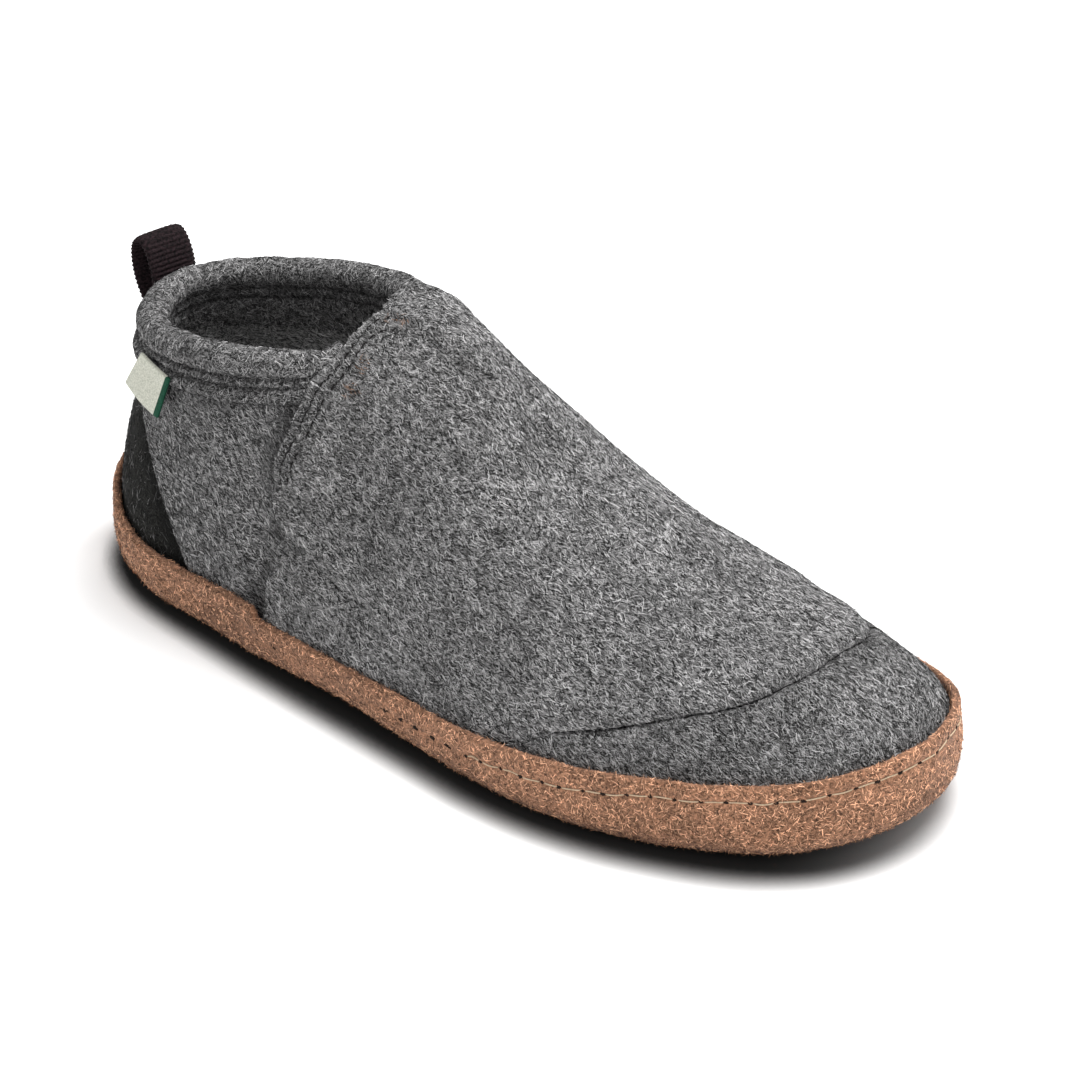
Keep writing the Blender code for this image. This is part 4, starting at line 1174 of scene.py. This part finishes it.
def make_sole_stitches():
    run = np.linspace(0, 20, 4001)
    pts = outline(run)[0]
    arc = np.r_[0, np.cumsum(np.linalg.norm(np.diff(pts, axis=0), axis=1))]
    first, last = np.interp(3.62, run, arc), np.interp(16.4, run, arc)
    rng = np.random.RandomState(5)
    at = np.arange(first + 2, last, 6.5)
    at = at + rng.randn(len(at)) * 0.35
    ks = np.interp(at, arc, run)
    below = row_below(ks) + rng.randn(len(ks)) * 0.25
    holes, thread = Cloth(), Cloth()
    for i, k in enumerate(ks):
        c, n = wall_point(np.array([k]), below[i], 0.0)
        c, n = c[0], n[0]
        t = np.array([-n[1], n[0], 0.0])
        up = np.array([0, 0, 1.0])
        ang = np.linspace(0, 2 * np.pi, 13)
        slant = rng.randn() * 0.25
        rx, rz = 0.62 + 0.25 * rng.rand(), 0.50 + 0.18 * rng.rand()
        if k < 5.75:
            rx *= 1.9
            rz *= 1.25
        tx, tz = t * np.cos(slant) + up * np.sin(slant), up * np.cos(slant) - t * np.sin(slant)
        wob = 1 + 0.22 * rng.randn(13)
        wob[-1] = wob[0]
        disc = []
        # painted shade: each hole is a dark disc lying on the wall
        for r, o in ((0.02, 0.06), (0.5, 0.06), (0.8, 0.03), (1.0, -0.12)):
            disc.append(c + n * (o + 0.10) + (tx * (rx * r * np.cos(ang) * wob)[:, None] + tz * (rz * r * np.sin(ang) * wob)[:, None]))
        holes.grid(np.array(disc))
    for i in range(len(ks) - 1):
        o = outline(np.array([ks[i]]))[0][0]
        if ks[i] < 5.75 or ks[i] > 14.6:
            continue
        m = 11
        u = np.linspace(0, 1, m)
        k = ks[i] + (ks[i + 1] - ks[i]) * (0.08 + 0.84 * u)
        drop = below[i] + (below[i + 1] - below[i]) * u
        sag = 0.15 + rng.randn() * 0.25
        c, n = wall_point(k, drop - sag * np.sin(u * np.pi), 0.0)
        high = 0.22 + 0.1 * rng.rand()
        rise = -0.25 + (0.25 + high) * np.sin(np.clip(u, 0, 1) * np.pi) ** 0.5
        line = c + n * rise[:, None]
        thread.grid(tube(line, 0.19, 6), flip=True)
    h = holes.make("sole_stitch_holes", M_HOLE)
    t = thread.make("sole_thread", M_THREAD)
    return h, t


def make_vamp_stitches(data):
    """Short dark stitches sunk in the two rows that follow the vamp's edge."""
    k, s, p, d, run = data
    flat_p, flat_d, flat_r, flat_s = p.reshape(-1, 3), d.reshape(-1), run.reshape(-1), s.reshape(-1)
    total = flat_r.max()
    cloth = Cloth()
    rng = np.random.RandomState(8)
    for at, shift in ((2.9, 0.0), (5.8, 1.6)):
        m = np.abs(flat_d - at) < 1.2
        q, dd, rr, ss = flat_p[m], flat_d[m], flat_r[m], flat_s[m]
        for c in np.arange(20 + shift, total - 20, 3.1):
            ends = []
            for e in (-1.0, 0.0, 1.0):
                cost = np.abs(dd - at) + np.abs(rr - (c + e * 1.05)) * 0.6
                near_by = np.argsort(cost)[:6]
                wgt = 1 / (cost[near_by] + 0.05)
                ends.append((q[near_by] * wgt[:, None]).sum(0) / wgt.sum())
                share = ss[near_by[0]]
            if share < 0.60 or rng.rand() < 0.10:
                continue
            a, b, e = ends
            if not 0.8 < np.linalg.norm(a - e) < 3.6:
                continue
            u = np.linspace(0, 1, 7)[:, None]
            line = a * (1 - u) ** 2 + 2 * b * u * (1 - u) + e * u * u
            # lift a touch off the groove in the middle, dive at the ends
            i = np.argmin(np.linalg.norm(flat_p - b, axis=1))
            nn = b - (b * 0 + np.array([130.0, 0, 30.0]))
            nn = nn / np.linalg.norm(nn)
            line = line + nn * (-0.25 + 0.50 * np.sin(u * np.pi) ** 0.7)
            cloth.grid(tube(line, 0.22, 6), flip=True)
    return cloth.make("vamp_stitches", M_STITCH)


def make_loop():
    cloth = Cloth()
    path = spline(np.arange(len(LOOP)), [(r[1], r[2]) for r in LOOP])
    tt = np.linspace(0, len(LOOP) - 1, 2001)
    q = path(tt)
    arc = np.r_[0, np.cumsum(np.linalg.norm(np.diff(q, axis=0), axis=1))]
    n_along, n_wide = 280, 19
    u = np.linspace(0, arc[-1], n_along)
    t = np.interp(u, arc, tt)
    c = path(t)
    d = path(np.clip(t + 0.02, 0, tt[-1])) - path(np.clip(t - 0.02, 0, tt[-1]))
    d /= np.linalg.norm(d, axis=1)[:, None]
    nrm = np.stack([-d[:, 1], d[:, 0]], 1)
    turn = np.radians(LOOP_TURN)
    back, across = np.array([-np.cos(turn), np.sin(turn)]), np.array([np.sin(turn), np.cos(turn)])
    w = np.linspace(-1, 1, n_wide)
    rib_h = 0.42 * np.abs(np.sin(np.pi * u / 1.25)) ** 0.9
    closed = []
    for side in (1, -1):
        grid = []
        for j, wj in enumerate(w if side > 0 else w[::-1]):
            thick = (LOOP_T / 2 - 0.12) * np.sqrt(max(1 - abs(wj) ** 6, 0.02)) + rib_h * (1 - 0.5 * abs(wj) ** 4) * (1 + 0.28 * np.sin(wj * 30.0))
            pt = c + nrm * (side * thick)[:, None]
            width = LOOP_W / 2 * wj * (1 + 0.022 * np.sin(2 * np.pi * u / 1.25))
            xy = np.array(LOOP_AT)[None] + pt[:, :1] * back[None] + width[:, None] * across[None]
            grid.append(np.concatenate([xy, pt[:, 1:]], 1))
        closed += grid
    closed = np.array(closed)
    closed = np.concatenate([closed, closed[:1]])
    cloth.grid(closed, flip=True)
    return cloth.make("loop_webbing", M_WEB, node="pull_loop", slot="webbing")


def make_tag():
    """Bare folded label: cream face, green fold along its front edge."""
    (_, ka, sa), (_, kb, sb), (_, kc, sc), (_, kd, sd) = TAG
    u, w = np.meshgrid(np.linspace(0, 1, 60), np.linspace(0, 1, 48))
    k = (ka + (kb - ka) * u) * (1 - w) + (kd + (kc - kd) * u) * w
    s = (sa + (sb - sa) * u) * (1 - w) + (sd + (sc - sd) * u) * w
    curl = 0.5 * np.sin(u * np.pi) * w + 0.25 * np.sin(w * np.pi)
    off = TAG_OFF + 0.7 * w + curl * 0.6
    rib_w = 0.035 * np.sin(w * 48 * np.pi) + 0.02 * np.sin(u * 60 * np.pi)
    r = rounding(np.minimum(u, 1 - u) * 10, 0.6) + rounding(np.minimum(w, 1 - w) * 12, 0.45)
    def flatter(q):
        a, b, c, d = q[0, 0], q[0, -1], q[-1, -1], q[-1, 0]
        v, x = w[..., None], u[..., None]
        return 0.4 * q + 0.6 * ((a * (1 - x) + b * x) * (1 - v) + (d * (1 - x) + c * x) * v)

    face = flatter(form(k, s, off + TAG_T + 0.25))
    rear = flatter(form(k, s, off + 0.25))
    away = face - rear
    away /= np.linalg.norm(away, axis=-1, keepdims=True)
    face = face + away * (rib_w - r * 0.5)[..., None]
    rear = rear + away * (r * 0.4)[..., None]
    front = Cloth()
    cols = 55
    front.grid(face[:, :cols])
    front.grid(np.stack([rear[0], face[0]])[:, :cols])
    front.grid(np.stack([face[-1], rear[-1]])[:, :cols])
    front.grid(np.stack([rear[:, 0], face[:, 0]], 1))
    a = front.make("tag_face", M_LABEL, node="tag", slot="label")
    green = Cloth()
    green.grid(face[:, cols - 1:])
    green.grid(rear, flip=True)
    green.grid(np.stack([face[:, -1], rear[:, -1]], 1))
    green.grid(np.stack([rear[0], face[0]])[:, cols - 1:])
    green.grid(np.stack([face[-1], rear[-1]])[:, cols - 1:])
    b = green.make("tag_fold", M_LABEL_BACK)
    return a, b


vamp, vamp_data = make_vamp()
toe = make_toe()
quarter, lining = make_quarters()
gusset = make_gusset()
collar = make_collar()
sole = make_sole()
bed = make_bed()
holes, thread = make_sole_stitches()
stitches = make_vamp_stitches(vamp_data)
loop = make_loop()
tag_face, tag_fold = make_tag()

THIN = 1.0


def outside(mid, n):
    return mid[:, 2] > 14


def count_of(n):
    return int(n * THIN)


ROW_K = np.linspace(3.4, 16.6, 260)
ROW = wall_point(ROW_K, row_below(ROW_K))[0]


def suede_face(mid, n):
    ok = (mid[:, 2] > 1.0) & ((n[:, 2] < 0.75) | (mid[:, 2] > 9.0)) & (n[:, 2] < 0.99)
    return ok & (near(mid, ROW)[0] > 0.85)


HEATHER = ((0.30, 3.7), (0.25, 1.05), (0.45, 0.04))
LIE = (1.0, 0.0, -0.45)
fibres("vamp_nap", vamp, count_of(80000), 21, M_HAIR, length=1.45, width=0.15, lift=0.16, stray=0.03, stray_lift=0.8, shades=HEATHER, keep=outside, steps=1, along=LIE)
fibres("vamp_fibres", vamp, count_of(16000), 31, M_HAIR, length=2.3, width=0.13, lift=0.30, stray=0.26, stray_lift=1.1, shades=HEATHER, keep=outside, along=LIE)
fibres("toe_nap", toe, count_of(22000), 22, M_HAIR, length=1.45, width=0.15, lift=0.16, shades=HEATHER, keep=outside, steps=1, along=LIE)
fibres("toe_fibres", toe, count_of(4500), 32, M_HAIR, length=2.3, width=0.13, lift=0.30, stray=0.26, shades=HEATHER, keep=outside, along=LIE)
fibres("quarter_nap", quarter, count_of(38000), 23, M_HAIR, length=1.45, width=0.15, lift=0.16, stray=0.03, shades=((0.30, 4.1), (0.22, 1.0), (0.48, 0.02)), keep=outside, steps=1, along=(1.0, 0.0, -0.7))
fibres("quarter_fibres", quarter, count_of(7000), 33, M_HAIR, length=2.3, width=0.13, lift=0.30, stray=0.26, shades=HEATHER, keep=outside, along=(1.0, 0.0, -0.7))
fibres("collar_nap", collar, count_of(32000), 24, M_HAIR, length=1.4, width=0.15, lift=0.14, stray=0.03, stray_lift=0.7, shades=HEATHER, steps=1)
fibres("collar_fibres", collar, count_of(5000), 34, M_HAIR, length=2.1, width=0.13, lift=0.25, stray=0.26, stray_lift=0.9, shades=HEATHER)
# painted light: the inside fibres get brighter shades than the heather, as the inside felt does
fibres("inside_fibres", lining, count_of(14000), 25, M_HAIR, length=2.4, width=0.15, shades=((0.38, 4.4), (0.24, 1.3), (0.38, 0.08)), keep=lambda m, n: (m[:, 0] < 130) & (m[:, 2] > 14), along=(1.0, 0.0, -0.3))
fibres("gusset_fibres", gusset, count_of(6500), 26, M_HAIR, width=0.14, lift=0.3, stray=0.06, shades=((0.17, 1.5), (0.23, 0.25), (0.60, 0.02)), along=(0.0, 0.3, -1.0))
fibres("suede_nap", sole, count_of(66000), 27, M_SUEDE_HAIR, length=1.15, width=0.125, lift=0.25, stray=0.28, stray_lift=0.75, shades=((0.36, 3.1), (0.24, 1.05), (0.40, 0.16)), keep=suede_face, steps=1, fade=0.2)
fibres("suede_fuzz", sole, count_of(11000), 37, M_SUEDE_HAIR, length=1.5, width=0.13, lift=0.3, stray=0.6, stray_lift=1.0, shades=((0.45, 2.3), (0.30, 1.0), (0.25, 0.2)), keep=suede_face, fade=0.2)
WARM = form(np.array([5.70, 5.62, 5.30, 5.18]), np.array([0.972, 0.955, 0.90, 0.86]), np.full(4, TOP))
fibres("warm_fibres", vamp, 64, 41, M_SUEDE_HAIR, length=2.0, width=0.14, lift=0.3, shades=((0.5, 1.1), (0.5, 0.6)), keep=lambda m, n: np.min(np.linalg.norm(m[:, None] - WARM[None], axis=2), axis=1) < 2.6, along=LIE)

# ---------- stage, light and camera

floor_mesh = bpy.data.meshes.new("floor")
R = 3.0
floor_mesh.from_pydata([(-R, -R, 0), (R, -R, 0), (R, R, 0), (-R, R, 0)], [], [(0, 1, 2, 3)])
floor = bpy.data.objects.new("floor", floor_mesh)
bpy.context.scene.collection.objects.link(floor)
# painted shadow: the floor's colour and its faint glow are darkened by ambient occlusion within 15.5 mm of the shoe,
# less on the heel side and faded out to the right of the toe; the glow keeps the open floor white
mat, tree, shader = nodes_of("floor_painted_shadow")
shut = tree.nodes.new("ShaderNodeAmbientOcclusion")
shut.samples = 16
shut.inputs["Distance"].default_value = 0.0155
spot = tree.nodes.new("ShaderNodeTexCoord").outputs["Object"]
part_xyz = tree.nodes.new("ShaderNodeSeparateXYZ")
tree.links.new(spot, part_xyz.inputs[0])
clear = mul(tree, mul(tree, mul(tree, mul(tree, part_xyz.outputs[0], 1.05), 0.857, "ADD"), 0.97, "MINIMUM"), 0.73, "MAXIMUM")
dim = mul(tree, mul(tree, shut.outputs["AO"], 0.50, "SUBTRACT"), mul(tree, clear, 0.50, "SUBTRACT"), "DIVIDE")
dim = mul(tree, mul(tree, mul(tree, dim, 0.0, "MAXIMUM"), 1.0, "MINIMUM"), 1.5, "POWER")
to_right = mul(tree, mul(tree, part_xyz.outputs[0], 0.7145), mul(tree, part_xyz.outputs[1], 0.6997), "ADD")
open_side = mul(tree, ramp(tree, to_right, (0.050, 0.125, 0.0, 1.0)), 3.0, "POWER")
lit = mul(tree, mul(tree, mul(tree, 1.0, dim, "SUBTRACT"), open_side), dim, "ADD")
white = mul(tree, mul(tree, lit, 0.93), 0.022, "ADD")
shader.inputs["Emission Color"].default_value = (1, 1, 1, 1)
tree.links.new(mul(tree, lit, 0.14), shader.inputs["Emission Strength"])
grey = tree.nodes.new("ShaderNodeCombineColor")
for slot_name in ("Red", "Green", "Blue"):
    tree.links.new(white, grey.inputs[slot_name])
tree.links.new(grey.outputs[0], shader.inputs["Base Color"])
shader.inputs["Roughness"].default_value = 0.9
shader.inputs["Specular IOR Level"].default_value = 0.0
floor_mesh.materials.append(mat)

world = bpy.data.worlds.new("studio")
world.use_nodes = True
world.node_tree.nodes["Background"].inputs["Color"].default_value = (1, 1, 1, 1)
world.node_tree.nodes["Background"].inputs["Strength"].default_value = 0.86
bpy.context.scene.world = world


def area(name, at, aim, size, power):
    data = bpy.data.lights.new(name, "AREA")
    data.shape = "DISK"
    data.size = size
    data.energy = power
    lamp = bpy.data.objects.new(name, data)
    lamp.location = at
    lamp.rotation_euler = (Vector(aim) - Vector(at)).to_track_quat("-Z", "Y").to_euler()
    bpy.context.scene.collection.objects.link(lamp)
    return lamp


area("key_light", (0.25, 0.45, 1.15), (0.0, 0.0, 0.03), 0.75, 20.0)
area("fill_light", (1.1, -0.5, 0.8), (0.0, 0.0, 0.03), 0.9, 3.0)

AZ, EL, ROLL, AWAY, PX_MM = math.radians(44.39892), math.radians(29.63701), math.radians(-3.78418), 1531.902, 3.8738152
back = np.array([math.sin(AZ) * math.cos(EL), -math.cos(AZ) * math.cos(EL), math.sin(EL)])
right = np.cross([0, 0, 1.0], back)
right /= np.linalg.norm(right)
up = np.cross(back, right)
r2 = right * math.cos(ROLL) + up * math.sin(ROLL)
u2 = -right * math.sin(ROLL) + up * math.cos(ROLL)
eye = np.array([140.0, 0, 38.0]) + back * AWAY + (-r2 * -23.25775 - u2 * -3.842095) * 0.3 + SHIFT
cam = bpy.data.objects.new("camera", bpy.data.cameras.new("camera"))
bpy.context.scene.collection.objects.link(cam)
pose = Matrix.Identity(4)
for i in range(3):
    pose[i][0], pose[i][1], pose[i][2], pose[i][3] = r2[i], u2[i], back[i], eye[i] * MM
cam.matrix_world = pose
cam.data.sensor_width = 36.0
cam.data.sensor_fit = "HORIZONTAL"
cam.data.lens = PX_MM * AWAY / 1080 * 36.0
cam.data.clip_start, cam.data.clip_end = 0.05, 20.0
bpy.context.scene.camera = cam
bpy.context.scene.view_settings.view_transform = "Standard"
bpy.context.scene.view_settings.look = "None"
